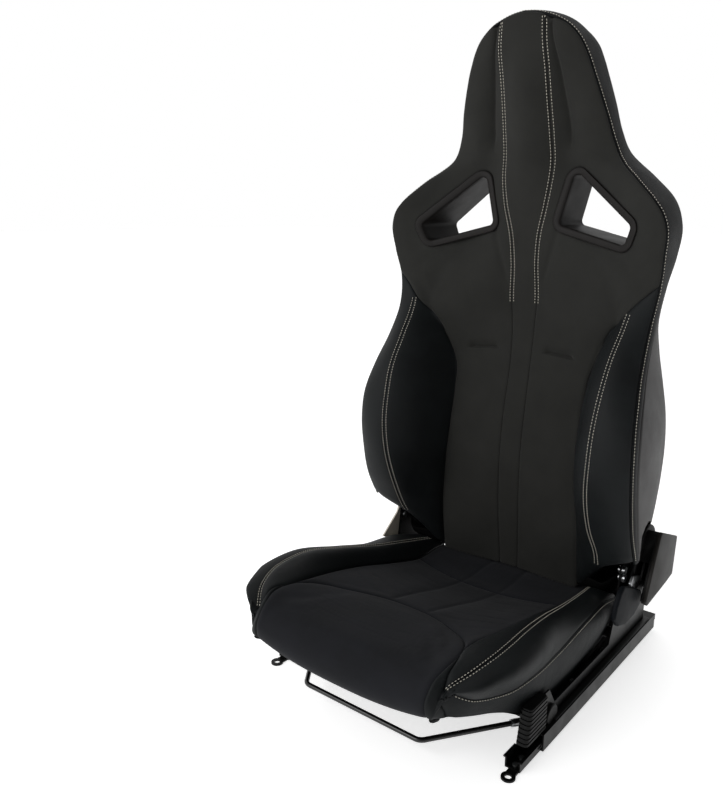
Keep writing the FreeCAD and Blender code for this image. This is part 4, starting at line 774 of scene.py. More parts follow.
# moulded and bent pieces of the slide and hinge: an outline in depth and height, extruded across and rounded
def plateFrom(name, outline, x, rounding, segments=3):
    near, far = x
    bpy.ops.object.select_all(action='DESELECT')
    bpy.ops.mesh.primitive_circle_add(vertices=len(outline), radius=1, fill_type='NGON')
    piece = bpy.context.object
    piece.name = name
    piece.data.name = name
    for v, (y, z) in zip(piece.data.vertices, outline):
        v.co = Vector((near, y, z)) * mm
    bpy.ops.object.mode_set(mode='EDIT')
    bpy.ops.mesh.select_all(action='SELECT')
    bpy.ops.mesh.extrude_region_move(TRANSFORM_OT_translate={"value": ((far - near) * mm, 0, 0)})
    bpy.ops.object.mode_set(mode='OBJECT')
    facesOutward(piece)
    soften = piece.modifiers.new("edges", 'BEVEL')
    soften.width, soften.segments = rounding * mm, segments
    soften.limit_method, soften.angle_limit = 'ANGLE', math.radians(25)
    bpy.ops.object.modifier_apply(modifier=soften.name)
    smoothByAngle(piece, 40)
    return piece


hingeForm = {"centre": (225.0, 203.0), "boss": 37.0, "arc": (195, 28, 15), "inner": 232.4, "bossEnd": 247.0,
             "bodyEnd": 266.0,
             "outer": 272.0, "inset": 1, "slotCentre": (0.2525, 0.178, 0.146),
             "slotSize": (0.018, 0.09, 0.078)}
bossY, bossZ = hingeForm["centre"]
bossArc = [(bossY + hingeForm["boss"] * math.cos(a), bossZ + hingeForm["boss"] * math.sin(a))
           for a in np.radians(np.linspace(*hingeForm["arc"]))]
bossFoot = [(262, 160), (258, 124), (172, 117), (165, 127), (177, 158)]
coverOutline = [(211, 231), (219, 235), (304, 201), (296, 130), (262, 125), (172, 116), (163, 126)]
inset = hingeForm["inset"]
housingOutline = [(y + (inset if y < 230 else -inset), z + (inset if z < 160 else -inset)) for y,
                  z in coverOutline]
hingeBoss = plateFrom("hingeBoss", bossArc + bossFoot, (hingeForm["inner"], hingeForm["bossEnd"]), 2.2)
hingeHousing = plateFrom("hingeHousing", housingOutline, (hingeForm["bossEnd"] - 2, hingeForm["bodyEnd"]),
                         1.6)
coverSide = plateFrom("coverSide", coverOutline, (hingeForm["bodyEnd"] - 1, hingeForm["outer"]), 2.0)
for piece in (hingeBoss, hingeHousing):
    bpy.ops.mesh.primitive_cube_add(size=1, location=hingeForm["slotCentre"])
    slotCutter = bpy.context.object
    slotCutter.scale = hingeForm["slotSize"]
    bpy.ops.object.transform_apply(location=True, rotation=True, scale=True)
    subtract(piece, slotCutter)
for piece in (coverSide, hingeHousing, hingeBoss):
    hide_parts("recliner_cover")
paddleForm = {"x": (246.5, 256.0), "rounding": 4.0, "segments": 4,
              "outline": [(104, 174), (128, 164), (160, 149), (186, 135), (191, 124), (185, 110), (158, 99),
                          (118, 98),
                          (88, 108), (69, 128), (75, 147), (89, 166)]}
leverPaddle = plateFrom("leverPaddle", **paddleForm)
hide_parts("lever_grip")
rootForm = {"x": (245.0, 250.0), "rounding": 1.6,
            "outline": [(146, 160), (158, 170), (180, 163), (222, 146), (226, 128), (190, 126), (152, 148)]}
leverRoot = plateFrom("leverRoot", **rootForm)

# ribbed lock block in front of the side member; a rib is a share of height and an inset
lockForm = {"low": 36.0, "high": 84.0, "rib": 6.6, "dip": 1.4, "x": (221.0, 240.0), "y": (-192.0, -128.0),
            "round": 6.0,
            "lean": 0.22, "shares": ((0.0, 0), (0.55, 0), (0.62, 1), (0.93, 1)), "cornerSteps": 4,
            "smooth": 35}
(x0, x1), (y0, y1) = lockForm["x"], lockForm["y"]
lockRings = []
for level in np.arange(lockForm["low"], lockForm["high"], lockForm["rib"]):
    for height, dipped in lockForm["shares"]:
        rise = lockForm["rib"] * height
        lean = (level + rise - lockForm["low"]) * lockForm["lean"]
        plan = roundedLoop([(x0, y0 + lean), (x1, y0 + lean), (x1, y1), (x0, y1)], lockForm["round"],
                           -lockForm["dip"] * dipped, lockForm["cornerSteps"])
        lockRings.append([(x, y, level + rise) for x, y in plan])
lockLeft = extrudeRings("lockLeft", lockRings)
facesOutward(lockLeft, fill=True)
smoothByAngle(lockLeft, lockForm["smooth"])
lockRight = mirrored(lockLeft, "lockRight")
# near-black strip on top of each rail: painted shade for the shaded gap between the rail and the side member
railShadeStripForm = {"x": (232.6, 242.4), "rounding": 0.8, "segments": 2,
            "outline": [(-104, 33.3), (-104, 35.6), (286, 35.6), (286, 33.3)]}
railShadeStripLeft = plateFrom("railShadeStripLeft", **railShadeStripForm)
railShadeStripRight = mirrored(railShadeStripLeft, "railShadeStripRight")
# dark side panels of the seat base, closing the gap under the bolsters and behind them; their near-black
# colour is painted shade standing in for the shaded gap there
shadeTrimForm = {"x": (191.0, 202.5), "rounding": 2.0,
            "outline": [(-100, 22), (-104, 56), (90, 66), (150, 100), (205, 103), (238, 103), (252, 96),
                        (252, 30), (240, 22)]}
shadeTrimLeft = plateFrom("shadeTrimLeft", **shadeTrimForm)
shadeTrimRight = mirrored(shadeTrimLeft, "shadeTrimRight")
# pressed pan under the cushion, narrower towards its front
panForm = {"x": (-186, 186), "rounding": 0.6, "segments": 1,
           "outline": [(172, 68), (172, 70), (-150, 70), (-256, 107), (-258, 98), (-256, 98), (-254, 105),
                       (-150, 68)]}
panTaper = {"start": -0.150, "end": -0.256, "share": 0.2}
seatPan = plateFrom("seatPan", **panForm)
for v in seatPan.data.vertices:
    v.co.x *= 1 - panTaper["share"] * smoothStep(panTaper["start"], panTaper["end"], v.co.y)
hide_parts("seat_pan")
for piece in (seatPan, hingeHousing, hingeBoss, coverSide, shadeTrimLeft, shadeTrimRight, lockLeft, lockRight,
              railShadeStripLeft, railShadeStripRight):
    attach(piece, "carriage")
for piece in (leverPaddle, leverRoot):
    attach(piece, "recline_lever")
print("hinge cover, lever and locks")

# cushion forms: centre line, valley, bolster crest, side seam and lower edge along the seat's length
# station; centre y, z; valley x, y, z; crest x, y, z; side x, y, z; lower x, y, z
cushionTable = np.array([
    (205, 205, 103, 154, 205, 104, 163, 205, 111, 205, 205, 98, 200, 205, 56),
    (170, 170, 103, 155, 170, 105, 169, 170, 121, 213, 170, 112, 205, 170, 46),
    (104, 104, 100, 152, 104, 107, 178, 104, 135, 221, 104, 133, 209, 104, 40),
    (19, 19, 113, 155, 19, 127, 187, 19, 153, 227, 19, 138, 212, 19, 38),
    (-82, -82, 141, 161, -82, 154, 200, -82, 179, 229, -82, 131, 213, -82, 41),
    (-162, -162, 160, 161.5, -162, 171.5, 211, -162, 195, 228, -162, 129, 213, -162, 62),
    (-210, -210, 166, 158.5, -210, 181, 212, -210, 195, 221, -210, 128, 209, -210, 90),
    (-240, -240, 168, 160, -240, 185, 209, -240, 192, 213, -240, 132, 204, -240, 103),
    (-262, -262, 168.5, 164.5, -262, 186, 203, -262, 187, 207, -262, 137, 199, -262, 110),
    (-284, -284, 168, 165.5, -284, 185, 193, -284, 178.5, 199, -284, 145, 191, -284, 116),
    (-296, -296, 167, 164, -295, 181.5, 184, -296, 171, 189, -296, 152, 185, -294, 118),
    (-306, -306, 165, 162.3, -305, 177, 176, -306, 163, 179, -306, 157, 180, -302, 121),
    (-320, -318, 159, 160.5, -316, 169.5, 174, -315, 153, 176.5, -314, 147, 175.5, -311, 122),
    (-334, -329, 149, 159.5, -325, 159, 172.5, -322, 143.5, 174, -321, 138, 172, -316, 122.5),
    (-349, -335, 136, 159, -331, 147.5, 171, -327, 135.5, 171.5, -326, 131.5, 169, -320, 123),
    (-363, -335.5, 122, 159.3, -331.5, 136, 169.5, -328, 129, 169.5, -327, 127.5, 167, -322.5, 123),
    (-375, -331, 111, 160, -329, 127, 167.5, -326.5, 124.5, 167, -325.5, 123.5, 165, -321.5, 121),
    (-388, -320, 104, 160.7, -321, 120, 166, -321, 119.3, 165.5, -320, 118.8, 164, -318, 118),
    (-404, -304, 101.5, 161, -307, 115, 165, -308, 114.5, 165, -308, 114.2, 164, -307, 113.8),
    (-424, -284, 100, 161.5, -287, 112, 164.5, -288, 111.8, 165, -288, 111.6, 164.5, -288, 111.3)],
                        float)[::-1]
stations = np.arange(-424.0, 205.1, 1.0)
cushionRows = splineAt(cushionTable[:, 0], cushionTable[:, 1:], stations)


def rowAt(s):
    i = np.clip(s - stations[0], 0, len(stations) - 1.001)
    i0 = i.astype(int)
    f = (i - i0)[:, None]
    return cushionRows[i0] * (1 - f) + cushionRows[i0 + 1] * f


# how a point between centre and valley shares in the valley's depth and height
topForm = {"curve": 2.5, "most": 1.2}


def cushionTop(flatPoints):
    x = flatPoints[:, 0]
    row = rowAt(flatPoints[:, 1])
    share = np.clip(np.abs(x) / row[:, 2], 0, topForm["most"])**topForm["curve"]
    y = row[:, 0] + share * (row[:, 3] - row[:, 0])
    z = row[:, 1] + share * (row[:, 4] - row[:, 1])
    return np.stack([x, y, z], axis=1)


# valley, crest, side seam and lower edge of a bolster by distance across it; then its swell by station
acrossKnots = (0.0, 52.0, 112.0, 190.0)
sideForm = {"rise": 0.35, "tuckUnder": (-4.0, 0, 0)}
swellForm = {"stations": (-342, -326, -306, -284, -240, -162, -82, 0, 60),
             "reach": (0, 5, 17, 25, 27, 20, 9, 2, 0),
             "skew": 0.8, "out": 0.88, "up": 0.36, "forward": -0.5, "forwardFrom": (250, 305)}


def cushionSide(flatPoints):
    t = flatPoints[:, 0]
    row = rowAt(flatPoints[:, 1])
    p = [row[:, 2:5], row[:, 5:8], row[:, 8:11], row[:, 11:14]]
    up = np.array([0, 0, 1.0])
    tangents = [unit(unit(p[1] - p[0]) + sideForm["rise"] * up), unit(unit(p[1] - p[0]) + unit(p[2] - p[1])),
                unit(unit(p[2] - p[1]) + unit(p[3] - p[2])), unit(p[3] - p[2] + sideForm["tuckUnder"])]
    place = np.zeros((len(t), 3))
    between = np.clip(np.searchsorted(acrossKnots, t, side='right') - 1, 0, 2)
    for k in range(3):
        low, high = acrossKnots[k], acrossKnots[k + 1]
        chosen = between == k
        u = ((t[chosen] - low) / (high - low))[:, None]
        a, b, ta, tb = p[k][chosen], p[k + 1][chosen], tangents[k][chosen], tangents[k + 1][chosen]
        reach = np.linalg.norm(b - a, axis=1)[:, None]
        inner = np.clip(u, 0, 1)
        place[chosen] = cubic(inner, a, b, ta, tb, reach) + (u - inner) * np.where(u < 0, ta, tb) * reach
    # the foam swells outward between the crest seam and the side seam
    share = np.clip((t - acrossKnots[1]) / (acrossKnots[2] - acrossKnots[1]), 0, 1)**swellForm["skew"]
    out = np.interp(flatPoints[:, 1], swellForm["stations"], swellForm["reach"]) * np.sin(math.pi * share)
    front = smoothStep(*swellForm["forwardFrom"], -flatPoints[:, 1])
    way = unit(np.stack([0 * t + swellForm["out"], swellForm["forward"] * front, 0 * t + swellForm["up"]],
                        axis=1))
    return place + way * out[:, None]


cushionSeams = {
    "thigh": [(0, -143), (35, -146), (70, -158), (103, -177), (131, -196), (149, -218), (160, -242),
              (166, -262)],
    "cross": [(0, 74), (40, 76), (80, 82), (115, 90), (155, 101)],
    "strip": [(36, 205), (38, 99), (37, 0), (36, -80), (35, -147)],
    "gusset": [(0, -254), (8, -275), (20, -296), (34, -302), (47, -306.5), (61, -314), (82, -321),
               (105, -324), (135, -321),
               (160, -316), (190, -312)],
}
cushionLine = {name: curveThrough(points, 2.0) for name, points in cushionSeams.items()}
valleyLine = np.stack([cushionRows[:, 2], stations], axis=1)[::3]

# thigh panel that rolls over the nose and under it
frontForm = {"step": 4.0, "thickness": 12.0}
seatOverlap = np.array([0.2, 0])
thighBoth = np.vstack([flipped(cushionLine["thigh"])[::-1], cushionLine["thigh"][1:]])
frontValley = np.array([p for p in valleyLine if -422 < p[1] < -264])
frontOutline = np.vstack([thighBoth - seatOverlap[::-1], frontValley[::-1] + seatOverlap,
                          flipped(frontValley) - seatOverlap])
bothValleys = [(valleyLine, 4.2, 10.0), (flipped(valleyLine), 4.2, 10.0)]
thighDip = (thighBoth, 4.2, 13.0)
cushionFront = softPiece("cushionFront", cushionTop, frontOutline, frontForm, dips=bothValleys + [thighDip])
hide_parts("cushion_front")
print("thigh panel")

# seat centre with its strip and cross seams
centreForm = {"step": 4.0, "thickness": 12.0}
backValley = np.array([p for p in valleyLine if -258 < p[1] < 204])
centreOutline = np.vstack([(thighBoth + seatOverlap[::-1])[4:-4], backValley + seatOverlap,
                           flipped(backValley)[::-1] - seatOverlap])
crossBoth = np.vstack([flipped(cushionLine["cross"])[::-1], cushionLine["cross"][1:]])[2:-2]
stripSeam = cushionLine["strip"][2:-2]
centreDips = bothValleys + [thighDip, (crossBoth, 3.2, 11.0), (stripSeam, 2.6, 9.0),
                            (flipped(stripSeam), 2.6, 9.0)]
cushionCentre = softPiece("cushionCentre", cushionTop, centreOutline, centreForm,
                          [crossBoth, stripSeam, flipped(stripSeam)],
                          seams=[crossBoth], dips=centreDips)
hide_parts("cushion_center")
print("seat centre")

# seat bolsters with crest seam, side seam and the end gusset of the nose
seatBolsterForm = {"step": 4.0, "thickness": 11.0, "noseThickness": 3.0, "nose": (270, 320)}
sideEdge = np.array([(-0.3, s) for s in np.arange(204, -414, -3.0)])
lowSide = np.array([(189.8, s) for s in np.arange(-388, 205, 3.0)])
seatBolsterOutline = np.vstack([sideEdge, [(30, -411), (95, -406), (150, -398)], lowSide,
                                [(150, 204), (75, 204)]])
crestSeam = np.array([(acrossKnots[1], s) for s in np.arange(200, -301, -3.0)], float)
sideSeam = np.array([(acrossKnots[2], s) for s in np.arange(200, -296, -3.0)]
                    + [(108, -299), (100, -303), (88, -307), (74, -309.5)], float)
gussetSeam = cushionLine["gusset"][3:-3]
sideDips = [(np.array([(0, 210), (0, -200)], float), 3.6, 9.0),
            (np.array([(0, -200), (0, -424)], float), 4.6, 9.0),
            (crestSeam, 2.0, 6.0), (sideSeam, 2.4, 8.0), (gussetSeam, 4.0, 8.0)]


def bolsterWall(flatPoints):
    form = seatBolsterForm
    thinner = smoothStep(*form["nose"], -flatPoints[:, 1])
    return form["thickness"] + (form["noseThickness"] - form["thickness"]) * thinner


seatBolsterLeft = softPiece("seatBolsterLeft", cushionSide, seatBolsterOutline,
                            dict(seatBolsterForm, thickness=bolsterWall),
                            [crestSeam, sideSeam, gussetSeam], seams=[crestSeam, sideSeam[:-3], gussetSeam],
                            dips=sideDips)
seatBolsterRight = mirrored(seatBolsterLeft, "seatBolsterRight")
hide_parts("cushion_bolster_left")
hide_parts("cushion_bolster_right")
print("seat bolsters")

for piece in (centreStrip, sidePanelLeft, sidePanelRight, backBolsterLeft, backBolsterRight, sideBand,
              backShell, closingCloth,
              bezelLeft, bezelRight):
    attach(piece, "backrest")
for piece in (cushionFront, cushionCentre, seatBolsterLeft, seatBolsterRight):
    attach(piece, "carriage")

# thread: one small stitch is made and copied along each row
# its shape: share along half the length, share of the radius, and height above the leather in radii
threadForm = {"pitch": 5.0, "length": 3.2, "radius": 0.6, "sides": 6, "search": 0.03,
              "shape": [(-1.0, 0.25, -0.5), (-0.72, 0.8, 0.1), (0.0, 1.0, 0.45), (0.72, 0.8, 0.1),
                        (1.0, 0.25, -0.5)]}


def stitchRow(name, body, rows, targets):
    trees = [BVHTree.FromPolygons([v.co[:] for v in t.data.vertices],
                                  [p.vertices[:] for p in t.data.polygons]) for t in targets]
    half, radius = threadForm["length"] / 2, threadForm["radius"]
    shape, sides = threadForm["shape"], threadForm["sides"]
    points, faces = [], []
    for row in rows:
        row = evenly(np.asarray(row, float), threadForm["pitch"])
        ahead = unit(np.gradient(row, axis=0))
        for place, way in zip(row, ahead):
            best = None
            for tree in trees:
                hit = tree.find_nearest(Vector(place) * mm, threadForm["search"])
                if hit[0] is not None and (best is None or hit[3] < best[3]):
                    best = hit
            if best is None:
                continue
            at, up = np.array(best[0]) / mm, np.array(best[1])
            way = unit(way - up * (way @ up))
            beside = np.cross(up, way)
            start = len(points)
            for along, width, raised in shape:
                centre = at + way * along * half + up * raised * radius
                for k in range(sides):
                    angle = 2 * math.pi * k / sides
                    points.append(centre + (beside * math.cos(angle) + up * math.sin(angle)) * radius * width)
            for ring in range(len(shape) - 1):
                for k in range(sides):
                    a, b = start + ring * sides + k, start + ring * sides + (k + 1) % sides
                    faces.append((a, b, b + sides, a + sides))
            faces.append(tuple(start + k for k in range(sides))[::-1])
            faces.append(tuple(start + (len(shape) - 1) * sides + k for k in range(sides)))
    piece = meshPiece(name, points, faces)
    piece.data.materials.append(threadMaterial)
    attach(piece, body)


def onBack(line, distance=0.0):
    return backFront(sideStep(line, distance))


def onSeat(line, distance=0.0):
    return cushionSide(sideStep(line, distance))


def bothSides(rows):
    return rows + [row * [-1, 1, 1] for row in rows]


# colours and materials
def linear(hexText):
    parts = [int(hexText[i:i + 2], 16) / 255 for i in (1, 3, 5)]
    return tuple(c / 12.92 if c <= 0.04045 else ((c + 0.055) / 1.055)**2.4 for c in parts) + (1.0,)


def add(tree, kind, inputs=None, **settings):
    node = tree.nodes.new(kind)
    for name, value in settings.items():
        setattr(node, name, value)
    for name, value in (inputs or {}).items():
        if isinstance(value, bpy.types.NodeSocket):
            tree.links.new(value, node.inputs[name])
        else:
            node.inputs[name].default_value = value
    return node


def blankMaterial(name):
    material = bpy.data.materials.new(name)
    material.use_nodes = True
    material.node_tree.nodes.clear()
    return material, material.node_tree


def surfaceMaterial(name, look):
    material, tree = blankMaterial(name)
    place = add(tree, "ShaderNodeTexCoord").outputs["Object"]
    cloud = add(tree, "ShaderNodeTexNoise",
                {"Vector": place, "Scale": 1000 / look["cloudMm"], "Detail": 4.0, "Roughness": 0.6})
    tone = add(tree, "ShaderNodeValToRGB", {"Fac": cloud.outputs["Fac"]})
    for stop, key, position in zip(tone.color_ramp.elements, ("dark", "light"), (0.3, 0.7)):
        stop.color, stop.position = linear(look[key]), position
    if look["grain"] == "cells":
        grain = add(tree, "ShaderNodeTexVoronoi", {"Vector": place, "Scale": 1000 / look["grainMm"]},
                    feature='DISTANCE_TO_EDGE')
        high = add(tree, "ShaderNodeMapRange",
                   {"Value": grain.outputs["Distance"], "From Min": 0.0, "From Max": 0.25}).outputs["Result"]
    elif look["grain"] == "brushed":
        stretch = add(tree, "ShaderNodeMapping", {"Vector": place, "Scale": (1.0, 0.05, 1.0)})
        high = add(tree, "ShaderNodeTexNoise",
                   {"Vector": stretch.outputs["Vector"], "Scale": 1000 / look["grainMm"],
                    "Detail": 2.0}).outputs["Fac"]
    else:
        high = add(tree, "ShaderNodeTexNoise",
                   {"Vector": place, "Scale": 1000 / look["grainMm"], "Detail": 3.0}).outputs["Fac"]
    wide = add(tree, "ShaderNodeTexNoise", {"Vector": place, "Scale": 1000 / look["waveMm"], "Detail": 2.0})
    broad = add(tree, "ShaderNodeBump",
                {"Height": wide.outputs["Fac"], "Strength": look["waveStrength"],
                 "Distance": look["waveDepth"] * mm})
    bump = add(tree, "ShaderNodeBump",
               {"Height": high, "Strength": look["grainStrength"], "Distance": look["grainDepth"] * mm,
                "Normal": broad.outputs["Normal"]})
    rough = add(tree, "ShaderNodeMapRange", {"Value": cloud.outputs["Fac"], "From Min": 0.3, "From Max": 0.7,
                                             "To Min": look["rough"] - look["roughSpread"],
                                             "To Max": look["rough"] + look["roughSpread"]})
    shader = add(tree, "ShaderNodeBsdfPrincipled",
                 {"Base Color": tone.outputs["Color"], "Roughness": rough.outputs["Result"],
                  "Normal": bump.outputs["Normal"]})
    for socket, value in look.get("sockets", {}).items():
        shader.inputs[socket].default_value = value
    add(tree, "ShaderNodeOutputMaterial", {"Surface": shader.outputs["BSDF"]})
    return material


# synthetic leather, embossed with a fine pebble; real grain is about 0.8 mm, drawn at 2 mm so that it shows
leatherLook = {"dark": "#0e1011", "light": "#141718", "cloudMm": 60, "grain": "cells", "grainMm": 2.0,
               "grainStrength": 0.35, "grainDepth": 0.25, "waveMm": 38, "waveStrength": 0.35,
               "waveDepth": 1.0, "rough": 0.58, "roughSpread": 0.05, "sockets": {"Specular IOR Level": 0.14}}
leather = surfaceMaterial("embossedSyntheticLeather", leatherLook)
# the same leather on the side band, with a duller finish; its darker colour is painted shade for the band's
# side-facing edge
bandLeatherPaintedShade = surfaceMaterial("dullSyntheticLeatherPaintedShade",
                              dict(leatherLook, dark="#090a0b", light="#0e1011", rough=0.6,
                                   sockets={"Specular IOR Level": 0.08}))
# black lining cloth under the foam; the same near-black colour also serves as painted shade on the seat-base
# side trims
liningClothAndShade = surfaceMaterial("blackLiningClothAndShade",
                              dict(leatherLook, dark="#040404", light="#070707", grain="fine", rough=0.9,
                                   sockets={"Specular IOR Level": 0.05}))
# napped synthetic suede on the centre panels: matt, with a soft bloom at grazing angles
suedeLook = {"dark": "#1c1c1a", "light": "#242422", "cloudMm": 80, "grain": "fine", "grainMm": 1.4,
             "grainStrength": 0.4, "grainDepth": 0.2, "waveMm": 45, "waveStrength": 0.35, "waveDepth": 1.0,
             "rough": 0.82, "roughSpread": 0.04,
             "sockets": {"Specular IOR Level": 0.15, "Sheen Weight": 0.06, "Sheen Roughness": 0.5}}
suede = surfaceMaterial("nappedSyntheticSuede", suedeLook)
seatSuedeLook = dict(suedeLook, dark="#131417", light="#1a1b1f",
                     sockets={"Specular IOR Level": 0.12, "Sheen Weight": 0.04, "Sheen Roughness": 0.5})
seatSuede = surfaceMaterial("nappedSyntheticSuedeSeat", seatSuedeLook)
# moulded polypropylene shell with a spark-eroded texture
shellLook = {"dark": "#181616", "light": "#1e1b1b", "cloudMm": 50, "grain": "cells", "grainMm": 1.8,
             "grainStrength": 0.3, "grainDepth": 0.2, "waveMm": 90, "waveStrength": 0.1, "waveDepth": 0.6,
             "rough": 0.55, "roughSpread": 0.05, "sockets": {"Specular IOR Level": 0.3}}
shellPlastic = surfaceMaterial("texturedPolypropylene", shellLook)
bezelLook = {"dark": "#131110", "light": "#191716", "cloudMm": 40, "grain": "fine", "grainMm": 0.9,
             "grainStrength": 0.25, "grainDepth": 0.1, "waveMm": 90, "waveStrength": 0.05, "waveDepth": 0.4,
             "rough": 0.55, "roughSpread": 0.05, "sockets": {"Specular IOR Level": 0.16}}
bezelPlastic = surfaceMaterial("mouldedAbs", bezelLook)
coverLook = dict(bezelLook, dark="#1a1816", light="#201e1c", rough=0.5)
coverPlastic = surfaceMaterial("grainedAbsCover", coverLook)
paddlePlastic = surfaceMaterial("softTouchPolyamide",
                                dict(bezelLook, dark="#0a0c0f", light="#0f1216", rough=0.6,
                                     sockets={"Specular IOR Level": 0.08}))
# polyamide of pins and end caps
pinLook = dict(bezelLook, dark="#060606", light="#0a0a0a", rough=0.5, sockets={"Specular IOR Level": 0.15})
pinPlastic = surfaceMaterial("blackPolyamide", pinLook)
# powder coat on rolled steel: slight orange peel
coatLook = {"dark": "#040404", "light": "#080808", "cloudMm": 30, "grain": "fine", "grainMm": 1.6,
            "grainStrength": 0.18, "grainDepth": 0.1, "waveMm": 60, "waveStrength": 0.05, "waveDepth": 0.3,
            "rough": 0.38, "roughSpread": 0.06, "sockets": {"Specular IOR Level": 0.14}}
powderCoat = surfaceMaterial("blackPowderCoat", coatLook)
glossLook = dict(coatLook, rough=0.2, dark="#070708", light="#0c0c0c", sockets={"Specular IOR Level": 0.5})
glossCoat = surfaceMaterial("glossBlackEnamel", glossLook)
# zinc plated steel with rolling marks
zincLook = {"dark": "#9a9b9c", "light": "#b9bbbd", "cloudMm": 14, "grain": "brushed", "grainMm": 0.6,
            "grainStrength": 0.12, "grainDepth": 0.05, "waveMm": 30, "waveStrength": 0.04, "waveDepth": 0.2,
            "rough": 0.32, "roughSpread": 0.08, "sockets": {"Metallic": 1.0}}
zincSteel = surfaceMaterial("zincPlatedSteel", zincLook)
# raw steel of the hinge bracket, dull and warm; its pale diffuse colour is partly the plate's own tone and
# partly painted light, lighter than the steel so that the bracket, which sits in shade here, reads bright
bracketPaintedLightLook = dict(zincLook, dark="#c9c1b2", light="#ddd6c8", rough=0.6, sockets={"Metallic": 0.0})
bracketSteelPaintedLight = surfaceMaterial("rawSteelPlatePaintedLight", bracketPaintedLightLook)
# spun polyester thread, pale grey
threadLook = {"dark": "#aaa599", "light": "#c8c3b6", "cloudMm": 3, "grain": "fine", "grainMm": 0.5,
              "grainStrength": 0.5, "grainDepth": 0.1, "waveMm": 9, "waveStrength": 0.0, "waveDepth": 0.1,
              "rough": 0.7, "roughSpread": 0.05}
threadMaterial = surfaceMaterial("polyesterThread", threadLook)

slotMaterials = {"rail_paint": powderCoat, "bar_paint": glossCoat, "zinc_steel": zincSteel,
                 "black_plastic": pinPlastic, "cover_plastic": coverPlastic, "shell_plastic": shellPlastic,
                 "bezel_plastic": bezelPlastic, "bolster_leather": leather, "center_fabric": suede}
for entry in frame["record"]["subparts"]:
    node = frame["nodes"][entry["node"]]
    if not node.material_slots:
        node.data.materials.append(None)
    for place in node.material_slots:
        place.material = slotMaterials[entry["material_slot"]]
dress = {"center_fabric": (centreStrip, sidePanelLeft, sidePanelRight, cushionFront, cushionCentre),
         "bolster_leather": (backBolsterLeft, backBolsterRight, sideBand, closingCloth, seatBolsterLeft,
                             seatBolsterRight),
         "shell_plastic": (backShell,), "bezel_plastic": (bezelLeft, bezelRight), "rail_paint": (seatPan,),
         "black_plastic": (hingeHousing, hingeBoss, shadeTrimLeft, shadeTrimRight, lockLeft, lockRight, railShadeStripLeft,
                           railShadeStripRight),
         "cover_plastic": (coverSide, leverPaddle), "zinc_steel": (leverRoot,)}
for slotName, pieces in dress.items():
    for piece in pieces:
        piece.data.materials.clear()
        piece.data.materials.append(slotMaterials[slotName])
for piece in (cushionFront, cushionCentre):
    piece.data.materials[0] = seatSuede
leverPaddle.data.materials[0] = paddlePlastic
# the bracket's pale colour is partly painted light
frame["nodes"]["hinge_bracket"].material_slots[0].material = bracketSteelPaintedLight
# the side band's darker leather is painted shade
sideBand.data.materials[0] = bandLeatherPaintedShade
# the near-black lining colour on the side trims is painted shade
for piece in (closingCloth, shadeTrimLeft, shadeTrimRight):
    piece.data.materials[0] = liningClothAndShade
print("materials")

# distance of the rows from their seams
rowGap = {"back": 3.3, "seatCrest": 2.97, "seatSide": 3.6, "outer": 5.6}
doubleRow = (rowGap["back"], -rowGap["back"])
stripRow = part(seamLine["strip"], 612, 1068)
stitchRow("stripStitches", "backrest", bothSides([onBack(stripRow, d) for d in doubleRow]),
          [centreStrip, sidePanelLeft, sidePanelRight])
stitchRow("backCrestStitches", "backrest", bothSides([onBack(crestIn[3:], d) for d in doubleRow]),
          [backBolsterLeft, backBolsterRight])
crestRow = np.vstack([crestSeam[2:], [(acrossKnots[1], -305)]])
crestProbe = acrossKnots[1] + np.arange(0, 10, 0.25)
crestOuter = np.array([alongLine(cushionSide(np.array([(t, station) for t in crestProbe])), rowGap["back"])
                       for station in crestRow[:, 1]])
stitchRow("seatCrestStitches", "carriage", bothSides([onSeat(crestRow, -rowGap["seatCrest"]), crestOuter]),
          [seatBolsterLeft, seatBolsterRight])
stitchRow("seatSideStitches", "carriage", bothSides([onSeat(sideSeam[2:-2], rowGap["seatSide"])]),
          [seatBolsterLeft, seatBolsterRight])
outerRow = np.array([alongLine(line, rowGap["outer"]) for line in bandGrid])
stitchRow("outerStitches", "backrest", [np.vstack([outerRow[2:] * [-1, 1, 1], outerRow[2:][::-1][1:]])],
          [sideBand])
print("stitches")

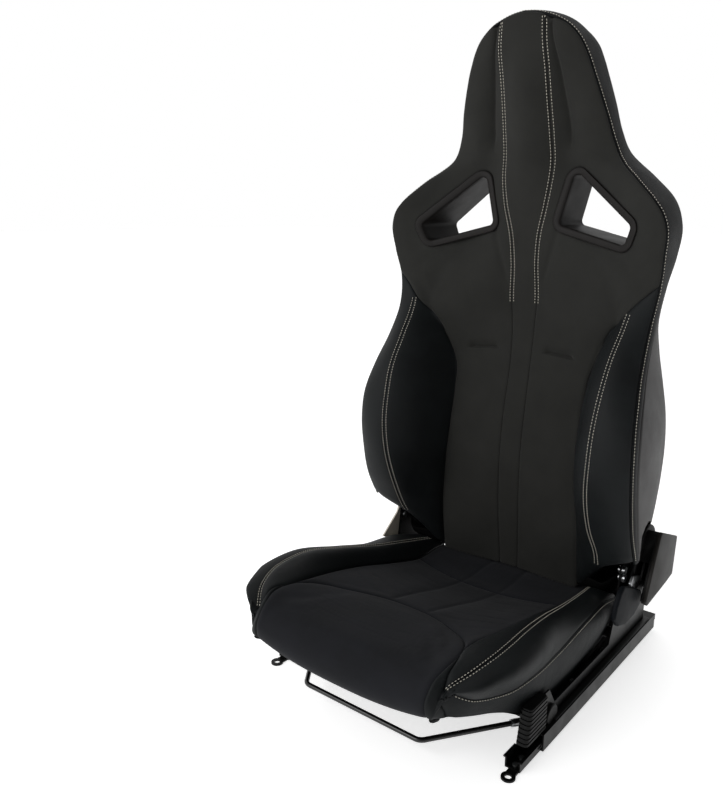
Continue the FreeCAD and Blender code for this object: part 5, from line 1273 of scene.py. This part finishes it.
# lights and floor
floorForm = {"size": 60, "paper": "#f4f4f4", "glow": 0.64}
bpy.ops.mesh.primitive_plane_add(size=floorForm["size"], location=(0, 0, 0))
floor = bpy.context.object
floor.name = "paleFloor"
world = bpy.data.worlds.new("studio")
bpy.context.scene.world = world
world.use_nodes = True
skyTree = world.node_tree
skyTree.nodes["Background"].inputs["Color"].default_value = (1, 1, 1, 1)
bpy.context.scene.view_settings.view_transform = 'Standard'
skyPlace = add(skyTree, "ShaderNodeTexCoord").outputs["Generated"]
skySides = add(skyTree, "ShaderNodeSeparateXYZ", {"Vector": skyPlace})
# the sky is dimmer overhead, and a dark flag on the lever side keeps that side of the seat in shade
skyTones = {"Z": (0.45, 0.85, 1.0, 0.45), "X": (0.05, 0.55, 1.0, 0.22)}
rangeSockets = ("From Min", "From Max", "To Min", "To Max")
skyTone, flagTone = [add(skyTree, "ShaderNodeMapRange",
                         {"Value": skySides.outputs[axis], **dict(zip(rangeSockets, tones))})
                     for axis, tones in skyTones.items()]
skyStrength = add(skyTree, "ShaderNodeMath", {0: skyTone.outputs["Result"], 1: flagTone.outputs["Result"]},
                  operation='MULTIPLY')
skyTree.links.new(skyStrength.outputs["Value"], skyTree.nodes["Background"].inputs["Strength"])
floorMaterial, floorTree = blankMaterial("palePaperFloor")
floorShader = add(floorTree, "ShaderNodeBsdfPrincipled",
                  {"Base Color": linear(floorForm["paper"]), "Roughness": 0.9,
                   "Emission Color": linear("#ffffff"),
                   "Emission Strength": floorForm["glow"]})
add(floorTree, "ShaderNodeOutputMaterial", {"Surface": floorShader.outputs["BSDF"]})
floor.data.materials.append(floorMaterial)
# place, size in metres and power in watts
studioLights = {"key": ((-1.2, -3.0, 1.9), 2.2, 46), "side": ((2.8, 0.6, 1.6), 1.6, 2),
                "top": ((-0.3, 0.9, 3.0), 2.0, 8)}
lightAim = (0, 0, 0.5)
for name, (spot, size, power) in studioLights.items():
    bpy.ops.object.light_add(type='AREA', location=spot)
    lamp = bpy.context.object
    lamp.name = name + "Softbox"
    lamp.data.size, lamp.data.energy = size, power
    lamp.rotation_euler = (Vector(lightAim) - Vector(spot)).to_track_quat('-Z', 'Y').to_euler()
